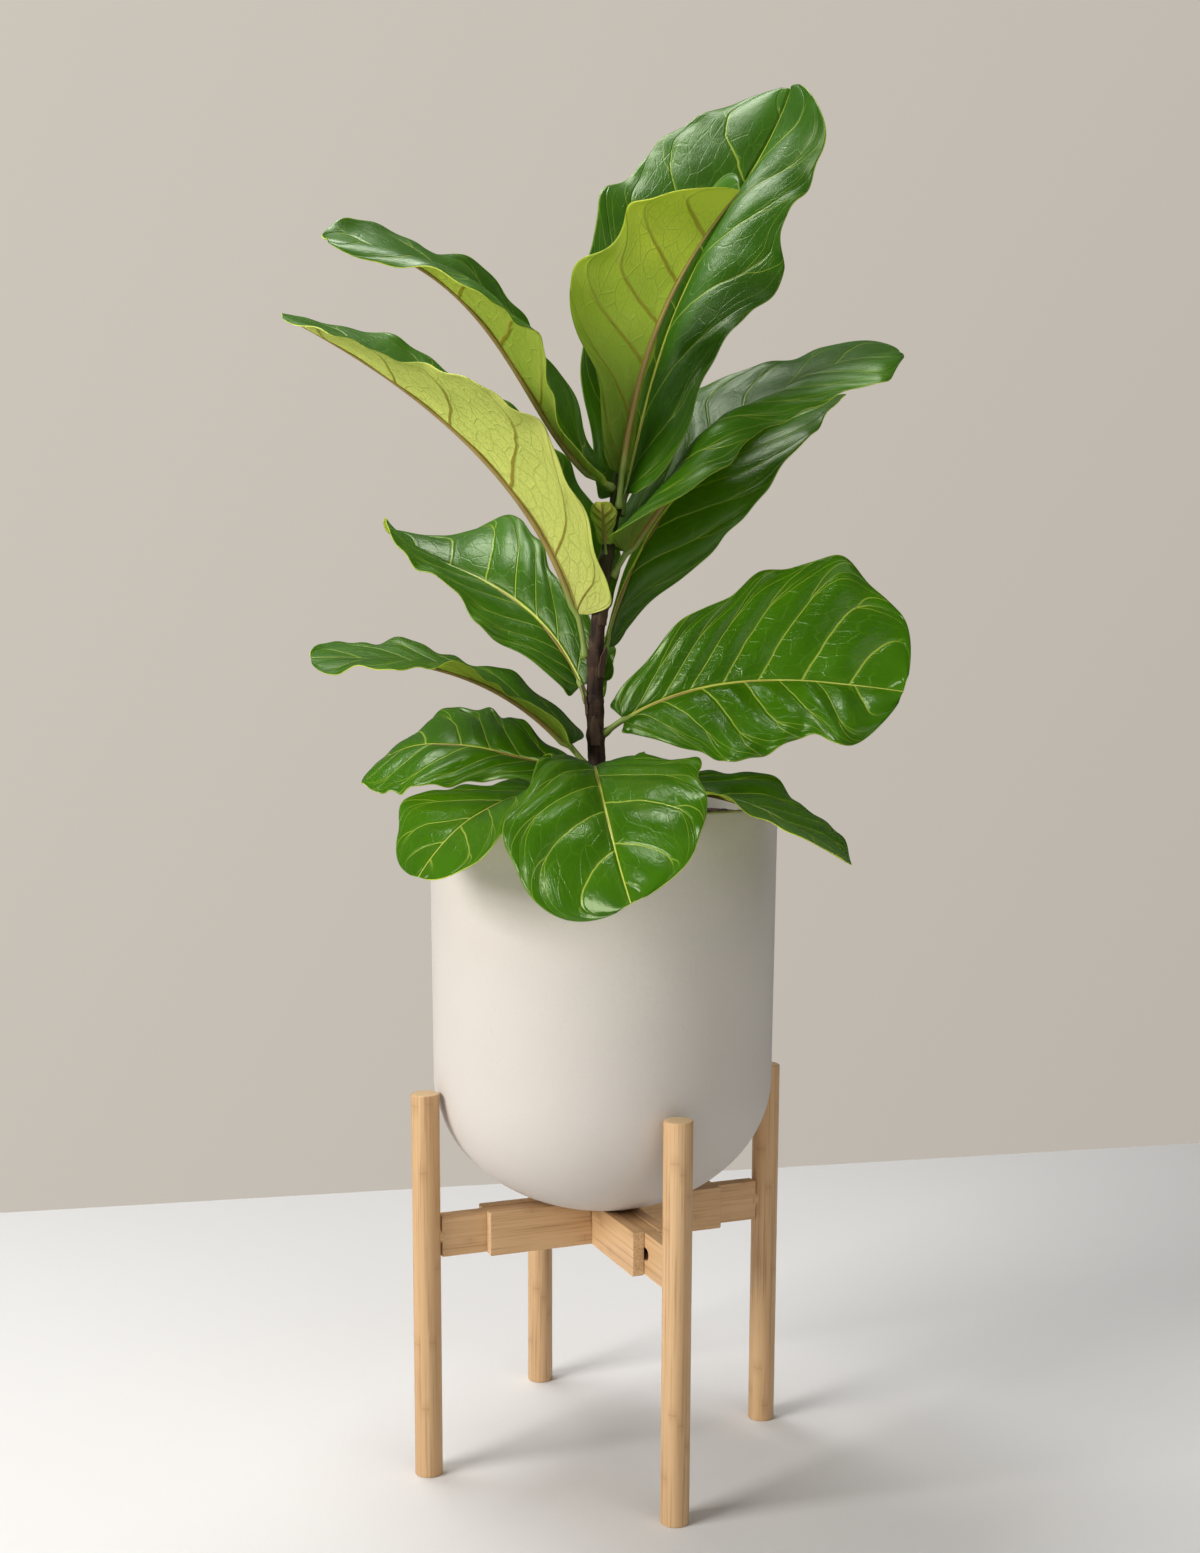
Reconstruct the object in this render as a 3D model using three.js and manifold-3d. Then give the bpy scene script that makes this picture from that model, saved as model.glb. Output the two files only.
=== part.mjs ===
// A potted fiddle leaf fig on an adjustable four-legged bamboo stand.
// Millimetres, +Z up. The stand's two beams lie along X and Y.
// The origin is the middle of the object's bounding box, at the floor.
import * as THREE from 'three';
import * as BufferGeometryUtils from 'three/addons/utils/BufferGeometryUtils.js';
import Module from 'manifold-3d';

const wasm = await Module();
wasm.setup();

// Driving dimensions

const gap = 0.3; // clearance between pieces that touch

const potRadius = 150; // outside, at the rim
const potHeight = 351;
const potWall = 8;
const potTaper = 1.5; // how much narrower the pot is where its round bottom starts
const bowlHeight = 112; // height of the round bottom
const potFootRadius = 48; // flat that the pot rests on
const headspace = 12; // from the rim down to the soil

const legLength = 340;
const legRadius = 12;
const legPotClearance = 0.5;

const armHeight = 36;
const armThickness = 12;
const armInnerEnd = 24; // from the stand's middle
const beamHeight = 214; // middle of the beams above the floor
const tenonRadius = 7;
const tenonLength = 14;

const cheekHeight = 38;
const cheekThickness = 10;
const cheekLength = 220;
const slideClearance = 0.4; // each side of an arm, between its cheeks

const boltDistance = 70; // from the stand's middle
const boltRadius = 3;
const boltHeadRadius = 6.5;
const boltHeadHeight = 3.6;
const insertRadius = 4.6;
const insertLength = 7;
const slotHeight = 11;
const slotStart = 34; // from the stand's middle
const sideSlotEnd = 106; // left, right and back arms: their slots end under the cheeks
const frontSlotEnd = 118; // the front arm's slot shows beyond its cheeks

const stemFootRadius = 8.5;
const stemTopRadius = 5;
const stemSocketDepth = 60; // how deep the stem stands in the soil
const budLength = 8; // growing tip at the top of the stem
const stemLean = -22; // azimuth of the plane that the stem bends in, degrees
// The stem's sideways offset in that plane, by height above the soil.
const stemBends = [[-60, -3], [-12, -3], [48, -6], [93, -8], [143, -7], [188, -3], [233, 4], [288, 13]];

const bladeThickness = 1.6;
const stalkRadius = 2.6;
const midribDepth = 2.2; // how far the midrib stands out under the blade
const lobeReach = 0.16; // how far the lobes at the stalk reach back, as a share of the blade's length
const designPotRadius = 150; // pot that the rim leaves' lengths are given for

// Leaves, from the top of the stem to the soil. Heights are above the soil. Angles are in degrees.
// azimuth: direction that the stalk leaves the stem in; swing: how that direction turns at mid length and tip
// rise: slope at the stem, at one third, at two thirds and at the tip; roll: turn about the midrib
// fold: how far a half lifts from flat at base, middle and tip; curl: how much more it bends up to its margin
// width: half widths at 10, 30, 50, 70 and 90 percent of the blade; lobes: share of lobeReach, if under 1
const leaves = [
  {
    name: 'leaf_crown_back', node: 259, azimuth: 18, stalk: 13, length: 399,
    rise: [73, 79, 32, 73], swing: [19, -41], roll: [-10, -33],
    right: { fold: [32, -20, 14], curl: 5, width: [50, 61, 87, 70, 74] },
    left: { fold: [31, 37, 14], curl: 7, width: [27, 66, 93, 96, 67] },
  },
  {
    name: 'leaf_crown_front', node: 262, azimuth: -85, stalk: 26, length: 250, lobes: 0.4,
    rise: [84, 67, 47, 31], swing: [15, 15], roll: [23, -13],
    right: { fold: [34, 44, 11], curl: 0, width: [18, 38, 80, 61, 61] },
    left: { fold: [61, 66, 60], curl: -21, width: [17, 31, 51, 62, 48] },
  },
  {
    name: 'leaf_upper_left', node: 277, azimuth: -175, stalk: 14, length: 306,
    rise: [24, 86, 21, -1], swing: [26, -5], roll: [35, 32],
    right: { fold: [33, 8, -33], curl: 41, width: [16, 44, 68, 54, 61] },
    left: { fold: [27, 52, 16], curl: -38, width: [14, 46, 77, 90, 36] },
  },
  {
    name: 'leaf_upper_right', node: 206, azimuth: -17, stalk: 19, length: 313, lobes: 0.8,
    rise: [60, 48, 40, -2], swing: [26, -5], roll: [3, -39],
    right: { fold: [50, -24, 43], curl: -35, width: [61, 62, 42, 56, 77] },
    left: { fold: [77, 6, 1], curl: -31, width: [30, 36, 88, 56, 65] },
  },
  {
    name: 'leaf_long_left', node: 139, azimuth: 156, stalk: 31, length: 358, lobes: 0.7,
    rise: [84, 47, 36, 22], swing: [-3, 22], roll: [-2, 18],
    right: { fold: [66, 49, 3], curl: -6, width: [43, 66, 61, 66, 60] },
    left: { fold: [67, 45, 6], curl: -16, width: [38, 66, 93, 60, 88] },
  },
  {
    name: 'leaf_dark_right', node: 134, azimuth: 29, stalk: 12, length: 385, lobes: 0.5,
    rise: [73, 43, 32, 12], swing: [-5, -22], roll: [-35, 10],
    right: { fold: [-27, 1, 11], curl: -23, width: [14, 54, 65, 74, 50] },
    left: { fold: [81, 95, 92], curl: 30, width: [22, 23, 38, 46, 36] },
  },
  {
    name: 'leaf_middle_left', node: 100, azimuth: 115, stalk: 12, length: 268,
    rise: [63, 36, 2, 35], swing: [1, 24], roll: [22, -15],
    right: { fold: [35, 61, 25], curl: -1, width: [33, 34, 60, 83, 41] },
    left: { fold: [-18, -1, 14], curl: -11, width: [17, 47, 56, 68, 53] },
  },
  {
    name: 'leaf_broad_right', node: 72, azimuth: -37, stalk: 18, length: 245,
    rise: [38, 10, -9, -7], swing: [7, -8], roll: [-51, -38],
    right: { fold: [-2, 15, 6], curl: -12, width: [19, 77, 98, 70, 72] },
    left: { fold: [24, 26, 11], curl: 11, width: [22, 60, 95, 110, 79] },
  },
  {
    name: 'leaf_narrow_left', node: 44, azimuth: 166, stalk: 20, length: 241,
    rise: [53, 33, 0, -2], swing: [9, 5], roll: [12, 4],
    right: { fold: [28, 2, 10], curl: 3, width: [34, 40, 47, 62, 52] },
    left: { fold: [10, 34, -15], curl: -12, width: [33, 28, 53, 72, 44] },
  },
  {
    name: 'leaf_low_left', node: 39, azimuth: 140, stalk: 19, length: 219,
    rise: [7, 16, 13, -49], swing: [-13, -8], roll: [14, 7],
    right: { fold: [24, 24, 10], curl: 0, width: [15, 40, 62, 63, 47] },
    left: { fold: [-14, -28, -14], curl: -17, width: [29, 34, 60, 63, 49] },
  },
  {
    name: 'leaf_rim_left', node: 16, azimuth: -141, stalk: 21, length: 212, lobes: 0.5, overRim: true,
    rise: [12, 5, -16, -57], swing: [-8, -26], roll: [-10, 1],
    right: { fold: [10, 21, 2], curl: 2, width: [34, 40, 54, 69, 50] },
    left: { fold: [3, 26, -15], curl: 11, width: [33, 35, 57, 62, 59] },
  },
  {
    name: 'leaf_rim_front', node: 27, azimuth: -116, stalk: 21, length: 272, overRim: true,
    rise: [25, 6, -50, -41], swing: [8, 23], roll: [9, -20],
    right: { fold: [5, 35, -26], curl: 0, width: [41, 37, 54, 79, 62] },
    left: { fold: [5, 7, 13], curl: 6, width: [40, 41, 77, 74, 59] },
  },
  {
    name: 'leaf_rim_right', node: 23, azimuth: -69, stalk: 19, length: 244, lobes: 0.4, overRim: true,
    rise: [9, 0, -15, -36], swing: [0, 17], roll: [-18, 3],
    right: { fold: [14, 15, 7], curl: 6, width: [29, 30, 49, 58, 48] },
    left: { fold: [17, 8, -14], curl: 3, width: [29, 35, 54, 52, 47] },
  },
];

// The small leaves and the papery bud sheaths are given in the same way.
const smallLeaves = [
  {
    name: 'leaf_small_back', node: 92, azimuth: 62, stalk: 10, length: 62,
    rise: [55, 60, 62, 60], swing: [0, 0], roll: [0, 0],
    right: { fold: [20, 20, 15], curl: 0, width: [7, 9, 13, 15, 11] },
    left: { fold: [20, 20, 15], curl: 0, width: [7, 9, 13, 15, 11] },
  },
  {
    name: 'leaf_tip_young', node: 222, azimuth: -120, stalk: 8, length: 40, thickness: 1,
    rise: [70, 60, 50, 45], swing: [0, 0], roll: [0, 0],
    right: { fold: [20, 25, 20], curl: 0, width: [6, 8, 11, 12, 8] },
    left: { fold: [20, 25, 20], curl: 0, width: [6, 8, 11, 12, 8] },
  },
];

const sheaths = [
  { name: 'bud_sheath_1', height: 118, azimuth: -60 },
  { name: 'bud_sheath_2', height: 86, azimuth: 170 },
  { name: 'bud_sheath_3', height: 162, azimuth: -75 },
  { name: 'bud_sheath_4', height: 60, azimuth: -115 },
];
const sheathLength = 26;
const sheathWidth = 4.5;
const sheathThickness = 1;

// Derived places

const cheekTop = beamHeight + cheekHeight / 2;
const potFloor = cheekTop + gap;
const soilTop = potFloor + potHeight - headspace;
const legCircle = potRadius + legPotClearance + legRadius;
const cheekMiddle = armThickness / 2 + slideClearance + cheekThickness / 2;
const stemTop = stemBends[stemBends.length - 1][0];

// Materials

function finish(color, roughness, metalness = 0) {
  return new THREE.MeshStandardMaterial({ color, roughness, metalness });
}

const potFinish = finish(0xd9d0c4, 0.75);
const bambooFinish = finish(0xc9a06a, 0.5);
const soilFinish = finish(0x2e2019, 0.95);
const barkFinish = finish(0x3d2a20, 0.85);
const leafFinish = finish(0x2f6b1f, 0.35);
const sheathFinish = finish(0x5a3a28, 0.8);
const steelFinish = finish(0x9a9a9c, 0.35, 1);

// Solid modelling

function toSolid(geometry) {
  const bare = geometry.clone();
  bare.deleteAttribute('normal');
  bare.deleteAttribute('uv');
  const merged = BufferGeometryUtils.mergeVertices(bare, 1e-4);
  return new wasm.Manifold(new wasm.Mesh({
    numProp: 3,
    vertProperties: new Float32Array(merged.attributes.position.array),
    triVerts: new Uint32Array(merged.index.array),
  }));
}

function toGeometry(solid) {
  const mesh = solid.getMesh();
  const geometry = new THREE.BufferGeometry();
  geometry.setAttribute('position', new THREE.BufferAttribute(mesh.vertProperties, 3));
  geometry.setIndex(new THREE.BufferAttribute(mesh.triVerts, 1));
  geometry.computeVertexNormals();
  return geometry;
}

function cut(geometry, ...tools) {
  return toGeometry(tools.reduce((solid, tool) => solid.subtract(toSolid(tool)), toSolid(geometry)));
}

function join(geometry, ...others) {
  return toGeometry(others.reduce((solid, other) => solid.add(toSolid(other)), toSolid(geometry)));
}

// A box given by its lowest and highest corners.
function block(low, high) {
  const size = high.map((value, axis) => value - low[axis]);
  const middle = high.map((value, axis) => (value + low[axis]) / 2);
  return new THREE.BoxGeometry(...size).translate(...middle);
}

// A round bar from start to end along one axis, 'x', 'y' or 'z', through the point given by the other two.
function bar(axis, start, end, radius, through, sides = 20) {
  const rod = new THREE.CylinderGeometry(radius, radius, end - start, sides);
  const middle = (start + end) / 2;
  if (axis === 'x') return rod.rotateZ(-Math.PI / 2).translate(middle, through[0], through[1]);
  if (axis === 'y') return rod.translate(through[0], middle, through[1]);
  return rod.rotateX(Math.PI / 2).translate(through[0], through[1], middle);
}

// A closed tube through rings that all have the same number of points, flat at both ends.
// A ring runs over the top from one side to the other and back underneath.
// Top and underside are split along the same diagonals, so that a thin twisted wall keeps its thickness.
function loft(rings) {
  const count = rings[0].length;
  const half = count / 2;
  const positions = rings.flat().flatMap((point) => [point.x, point.y, point.z]);
  const index = [];
  for (let ring = 0; ring < rings.length - 1; ring += 1) {
    for (let side = 0; side < count; side += 1) {
      const next = (side + 1) % count;
      const a = ring * count + side;
      const b = ring * count + next;
      if (side < half) index.push(a, b, a + count, b, b + count, a + count);
      else index.push(a, b, b + count, a, b + count, a + count);
    }
  }
  const last = (rings.length - 1) * count;
  for (let side = 0; side < half - 1; side += 1) {
    const under = count - 1 - side;
    index.push(side, under, side + 1, side + 1, under, under - 1);
    index.push(last + side, last + side + 1, last + under);
    index.push(last + side + 1, last + under - 1, last + under);
  }
  const geometry = new THREE.BufferGeometry();
  geometry.setAttribute('position', new THREE.Float32BufferAttribute(positions, 3));
  geometry.setIndex(index);
  geometry.computeVertexNormals();
  return geometry;
}

// Stand

function legGeometry() {
  const bore = tenonRadius + gap;
  const post = bar('z', 0, legLength, legRadius, [legCircle, 0], 32);
  const face = legCircle - legRadius;
  const mortise = bar('x', face - 1, face + tenonLength + gap, bore, [0, beamHeight]);
  return cut(post, mortise);
}

function armGeometry(slotEnd) {
  const shoulder = legCircle - legRadius - gap;
  const half = armHeight / 2;
  const plate = block(
    [armInnerEnd, -armThickness / 2, beamHeight - half],
    [shoulder, armThickness / 2, beamHeight + half],
  );
  const tenon = bar('x', shoulder - 2, legCircle - legRadius + tenonLength, tenonRadius, [0, beamHeight]);
  const slotRadius = slotHeight / 2;
  const slot = block(
    [slotStart + slotRadius, -armThickness, beamHeight - slotRadius],
    [slotEnd - slotRadius, armThickness, beamHeight + slotRadius],
  );
  const slotEnds = [slotStart + slotRadius, slotEnd - slotRadius].map(
    (x) => bar('y', -armThickness, armThickness, slotRadius, [x, beamHeight]),
  );
  return cut(join(plate, tenon), slot, ...slotEnds);
}

// A cheek along X at y = side * cheekMiddle.
// One beam's cheeks are notched from above and the other's from below.
function cheekGeometry(side, notchAbove, threaded) {
  const half = cheekHeight / 2;
  const y = side * cheekMiddle;
  const plank = block(
    [-cheekLength / 2, y - cheekThickness / 2, beamHeight - half],
    [cheekLength / 2, y + cheekThickness / 2, beamHeight + half],
  );
  const notches = [-1, 1].map((across) => {
    const x = across * cheekMiddle;
    const reach = cheekThickness / 2 + gap;
    return block(
      [x - reach, y - cheekThickness, notchAbove ? beamHeight - gap / 2 : beamHeight - cheekHeight],
      [x + reach, y + cheekThickness, notchAbove ? beamHeight + cheekHeight : beamHeight + gap / 2],
    );
  });
  const holes = [-boltDistance, boltDistance].map((x) => {
    const inner = side * (armThickness / 2 + slideClearance);
    if (threaded) {
      const ends = [inner - side, inner + side * (insertLength + gap)].sort((a, b) => a - b);
      return bar('y', ends[0], ends[1], insertRadius + gap, [x, beamHeight]);
    }
    return bar('y', y - cheekThickness, y + cheekThickness, boltRadius + gap, [x, beamHeight]);
  });
  return cut(plank, ...notches, ...holes);
}

// A bolt along Y with its round head outside the cheek at +Y and its end inside the insert.
function boltGeometry(x) {
  const headFace = cheekMiddle + cheekThickness / 2 + gap;
  const tip = -(armThickness / 2 + slideClearance + insertLength - 1);
  const shank = bar('y', tip, headFace + 1, boltRadius, [x, beamHeight]);
  const profile = [
    new THREE.Vector2(0, 0),
    new THREE.Vector2(boltHeadRadius, 0),
    new THREE.Vector2(boltHeadRadius, boltHeadHeight * 0.35),
    new THREE.Vector2(boltHeadRadius * 0.75, boltHeadHeight * 0.85),
    new THREE.Vector2(boltHeadRadius * 0.4, boltHeadHeight),
    new THREE.Vector2(0, boltHeadHeight),
  ];
  const head = new THREE.LatheGeometry(profile, 24).translate(x, headFace, beamHeight);
  return join(shank, head);
}

function insertGeometry(x) {
  const face = -(armThickness / 2 + slideClearance);
  const body = bar('y', face - insertLength, face, insertRadius, [x, beamHeight]);
  return cut(body, bar('y', face - insertLength - 1, face + 1, boltRadius + gap, [x, beamHeight]));
}

const quarter = Math.PI / 2;
const directions = [
  { name: 'right', turn: 0, slotEnd: sideSlotEnd },
  { name: 'back', turn: quarter, slotEnd: sideSlotEnd },
  { name: 'left', turn: 2 * quarter, slotEnd: sideSlotEnd },
  { name: 'front', turn: -quarter, slotEnd: frontSlotEnd },
];

function buildStand() {
  const stand = new THREE.Group();
  for (const { name, turn, slotEnd } of directions) {
    const leg = namedMesh(`leg_${name}`, legGeometry(), bambooFinish);
    const arm = namedMesh(`arm_${name}`, armGeometry(slotEnd), bambooFinish);
    leg.rotation.z = turn;
    arm.rotation.z = turn;
    stand.add(leg, arm);
  }
  // The Y beam is the X beam's shape turned by a quarter, so its +Y side faces -X.
  const beams = [
    { name: 'x', turn: 0, notchAbove: true, boltSide: 1, ends: ['left', 'right'] },
    { name: 'y', turn: -quarter, notchAbove: false, boltSide: 1, ends: ['back', 'front'] },
  ];
  for (const beam of beams) {
    const pieces = [
      namedMesh(`cheek_${beam.name}_bolted`, cheekGeometry(1, beam.notchAbove, false), bambooFinish),
      namedMesh(`cheek_${beam.name}_threaded`, cheekGeometry(-1, beam.notchAbove, true), bambooFinish),
    ];
    beam.ends.forEach((end, place) => {
      const x = place === 0 ? -boltDistance : boltDistance;
      pieces.push(namedMesh(`clamp_bolt_${end}`, boltGeometry(x), steelFinish));
      pieces.push(namedMesh(`threaded_insert_${end}`, insertGeometry(x), steelFinish));
    });
    for (const piece of pieces) {
      piece.rotation.z = beam.turn;
      stand.add(piece);
    }
  }
  return stand;
}

// Pot and soil

// The round bottom is part of an ellipse that starts at the flat foot and meets the straight side.
const bowlRadius = potRadius - potTaper;
const bowlStart = Math.asin(potFootRadius / bowlRadius);
const bowlReach = bowlHeight / Math.cos(bowlStart);
const bowlSteps = 8;
const potSides = 56;

// Points up the round bottom, from the edge of the foot to the straight side.
function bowlPoints() {
  return Array.from({ length: bowlSteps + 1 }, (_, step) => {
    const angle = bowlStart + (Math.PI / 2 - bowlStart) * step / bowlSteps;
    return new THREE.Vector2(bowlRadius * Math.sin(angle), bowlHeight - bowlReach * Math.cos(angle));
  });
}

// The outside radius of the straight, slightly tapered side at a height.
function sideRadius(height) {
  return bowlRadius + potTaper * (height - bowlHeight) / (potHeight - bowlHeight);
}

// The inner wall from the axis up to the top of the round bottom, moved in by an offset.
function innerProfile(offset) {
  const wall = potWall + offset;
  const points = bowlPoints().map(({ x, y }) => new THREE.Vector2(
    x * (bowlRadius - wall) / bowlRadius,
    y + wall * (1 - y / bowlHeight),
  ));
  return [new THREE.Vector2(0, wall), ...points];
}

function potGeometry() {
  const edge = potWall / 4;
  const profile = [
    new THREE.Vector2(0, 0),
    ...bowlPoints(),
    new THREE.Vector2(potRadius, potHeight - edge),
    new THREE.Vector2(potRadius - edge, potHeight),
    new THREE.Vector2(potRadius - potWall + edge, potHeight),
    new THREE.Vector2(potRadius - potWall, potHeight - edge),
    ...innerProfile(0).reverse(),
  ];
  return new THREE.LatheGeometry(profile, potSides).rotateX(Math.PI / 2);
}

function soilGeometry() {
  const top = potHeight - headspace;
  const reach = sideRadius(top) - potWall - gap;
  const bevel = 2;
  const profile = [
    ...innerProfile(gap),
    new THREE.Vector2(reach, top - bevel),
    new THREE.Vector2(reach - bevel, top),
    new THREE.Vector2(0, top),
  ];
  const socket = loft(stemRings(stemFootRadius + gap, -stemSocketDepth - gap, 10, 8))
    .translate(0, 0, top);
  return cut(new THREE.LatheGeometry(profile, potSides).rotateX(Math.PI / 2), socket);
}

// Stem

const degrees = Math.PI / 180;

// Where the stem's middle is at a height above the soil.
function stemPoint(height) {
  let next = 1;
  while (next < stemBends.length - 1 && stemBends[next][0] < height) next += 1;
  const [lowHeight, lowOffset] = stemBends[next - 1];
  const [highHeight, highOffset] = stemBends[next];
  const offset = lowOffset + (highOffset - lowOffset) * (height - lowHeight) / (highHeight - lowHeight);
  return new THREE.Vector3(
    offset * Math.cos(stemLean * degrees),
    offset * Math.sin(stemLean * degrees),
    height,
  );
}

function stemRadius(height) {
  const share = Math.min(Math.max(height / stemTop, 0), 1);
  return stemFootRadius + (stemTopRadius - stemFootRadius) * share;
}

// Rings around the stem from a low to a high height. A fixed radius overrides the stem's own.
function stemRings(fixedRadius, low, high, steps) {
  const sides = 14;
  return Array.from({ length: steps + 1 }, (_, step) => {
    const height = low + (high - low) * step / steps;
    const middle = stemPoint(height);
    const radius = fixedRadius ?? stemRadius(height);
    return Array.from({ length: sides }, (_unused, side) => {
      const angle = Math.PI + 2 * Math.PI * (side + 0.5) / sides;
      return new THREE.Vector3(
        middle.x + radius * Math.cos(angle),
        middle.y + radius * Math.sin(angle),
        height,
      );
    });
  });
}

// The stem ends in a short pointed bud.
function stemGeometry() {
  const rings = stemRings(null, -stemSocketDepth, stemTop, 14);
  const middle = stemPoint(stemTop);
  for (const [share, rise] of [[0.8, 0.4], [0.3, 1]]) {
    const ring = rings[14].map((point) => middle.clone().lerp(point, share));
    ring.forEach((point) => { point.z += budLength * rise; });
    rings.push(ring);
  }
  return loft(rings);
}

// Leaves

const spineSteps = 160;

function bezier3([a, b, c, d], q) {
  const p = 1 - q;
  return a * p ** 3 + 3 * b * q * p * p + 3 * c * q * q * p + d * q ** 3;
}

function bezier2([a, b, c], q) {
  return a * (1 - q) ** 2 + 2 * b * q * (1 - q) + c * q * q;
}

// The line of a leaf's stalk and midrib, as points with a frame at each: tangent, across (to the right), up.
function leafSpine(leaf) {
  const total = leaf.stalk + leaf.length;
  const frames = [];
  for (let step = 0; step <= spineSteps; step += 1) {
    const q = step / spineSteps;
    const rise = bezier3(leaf.rise, q) * degrees;
    const azimuth = (leaf.azimuth + 2 * q * (1 - q) * leaf.swing[0] + q * q * leaf.swing[1]) * degrees;
    const roll = (leaf.roll[0] + (leaf.roll[1] - leaf.roll[0]) * q) * degrees;
    const tangent = new THREE.Vector3(
      Math.cos(rise) * Math.cos(azimuth),
      Math.cos(rise) * Math.sin(azimuth),
      Math.sin(rise),
    );
    const level = new THREE.Vector3(Math.sin(azimuth), -Math.cos(azimuth), 0);
    const normal = level.clone().cross(tangent);
    const across = level.clone().multiplyScalar(Math.cos(roll)).addScaledVector(normal, Math.sin(roll));
    const up = normal.multiplyScalar(Math.cos(roll)).addScaledVector(level, -Math.sin(roll));
    frames.push({ tangent, across, up });
  }
  const outward = stemRadius(leaf.node) + gap + stalkRadius * Math.sin(leaf.rise[0] * degrees);
  const start = stemPoint(leaf.node);
  start.x += outward * Math.cos(leaf.azimuth * degrees);
  start.y += outward * Math.sin(leaf.azimuth * degrees);
  frames[0].point = start;
  for (let step = 1; step <= spineSteps; step += 1) {
    const stride = frames[step].tangent.clone().add(frames[step - 1].tangent);
    frames[step].point = frames[step - 1].point.clone().addScaledVector(stride, total / spineSteps / 2);
  }
  return { frames, total };
}

function spineAt({ frames, total }, q) {
  const place = Math.min(Math.max(q, 0), 1) * spineSteps;
  const low = Math.min(Math.floor(place), spineSteps - 1);
  const share = place - low;
  const mix = (key) => frames[low][key].clone().lerp(frames[low + 1][key], share);
  const point = mix('point').addScaledVector(frames[0].tangent, Math.min(q, 0) * total);
  return { point, across: mix('across'), up: mix('up') };
}

// The blade closes to nothing at both ends like a squared-off ellipse.
function bladeEnds(t) {
  return Math.sqrt(Math.max(1 - Math.abs(2 * t - 1) ** 4, 0));
}

const widthStations = [0.1, 0.3, 0.5, 0.7, 0.9];

// A half width along the blade: a smooth curve through the five given widths.
function halfWidth(widths, t) {
  const scaled = widths.map((width, station) => width / bladeEnds(widthStations[station]));
  const padded = [scaled[0], ...scaled, scaled[scaled.length - 1]];
  const place = Math.min(Math.max((t - 0.1) / 0.2, 0), 3.999);
  const low = Math.floor(place);
  const u = place - low;
  const [a, b, c, d] = padded.slice(low, low + 4);
  const smooth = 0.5 * (2 * b + (c - a) * u + (2 * a - 5 * b + 4 * c - d) * u * u
    + (3 * b - a - 3 * c + d) * u ** 3);
  return bladeEnds(t) * smooth;
}

// A point of the blade's middle surface and its normal: t runs from stalk to tip, v from left -1 to right 1.
function bladePoint(leaf, spine, t, v) {
  const side = v < 0 ? leaf.left : leaf.right;
  const sign = v < 0 ? -1 : 1;
  const out = Math.abs(v);
  const near = Math.min(t / 0.3, 1);
  const lobe = (leaf.lobes ?? 1) * lobeReach * Math.sin(Math.PI * near) * (1 - near);
  const q = (leaf.stalk + leaf.length * (t - lobe * out ** 1.5)) / spine.total;
  const frame = spineAt(spine, q);
  const fold = bezier2(side.fold, t) * degrees;
  const curl = Math.abs(side.curl) < 0.1 ? 0.002 : side.curl * degrees;
  const lean = fold + curl * out;
  const width = halfWidth(side.width, t);
  const outward = width * (Math.sin(lean) - Math.sin(fold)) / curl;
  const upward = width * (Math.cos(fold) - Math.cos(lean)) / curl;
  const point = frame.point
    .addScaledVector(frame.across, sign * outward)
    .addScaledVector(frame.up, upward);
  const tilt = out === 0 ? 0 : lean;
  const normal = frame.up.clone().multiplyScalar(Math.cos(tilt))
    .addScaledVector(frame.across, -sign * Math.sin(tilt));
  return { point, normal };
}

const acrossStations = [-1, -0.7, -0.35, 0, 0.35, 0.7, 1];
const bladeRows = [0.03, 0.08, 0.14, 0.21, 0.29, 0.38, 0.47, 0.56, 0.65, 0.74, 0.83, 0.9, 0.95, 0.98, 0.997];
const stalkRows = 3;

// One closed solid: a round stalk that spreads into a thin blade with a midrib under it.
function leafGeometry(leaf) {
  const spine = leafSpine(leaf);
  const ringCount = acrossStations.length * 2;
  const rings = [];
  for (let row = 0; row < stalkRows; row += 1) {
    const frame = spineAt(spine, leaf.stalk / spine.total * row / (stalkRows - 1));
    rings.push(Array.from({ length: ringCount }, (_, side) => {
      const angle = Math.PI - 2 * Math.PI * (side + 0.5) / ringCount;
      return frame.point.clone()
        .addScaledVector(frame.across, stalkRadius * Math.cos(angle))
        .addScaledVector(frame.up, stalkRadius * Math.sin(angle));
    }));
  }
  const thickness = leaf.thickness ?? bladeThickness;
  for (const t of bladeRows) {
    const top = [];
    const under = [];
    for (const v of acrossStations) {
      const { point, normal } = bladePoint(leaf, spine, t, v);
      const edge = Math.abs(v) === 1 ? 0.5 : 1;
      const rib = v === 0 ? Math.min(midribDepth, thickness * 1.5) * (1 - t) : 0;
      top.push(point.clone().addScaledVector(normal, thickness / 2 * edge));
      under.push(point.clone().addScaledVector(normal, -thickness / 2 * edge - rib));
    }
    rings.push([...top, ...under.reverse()]);
  }
  return loft(rings);
}

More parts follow.
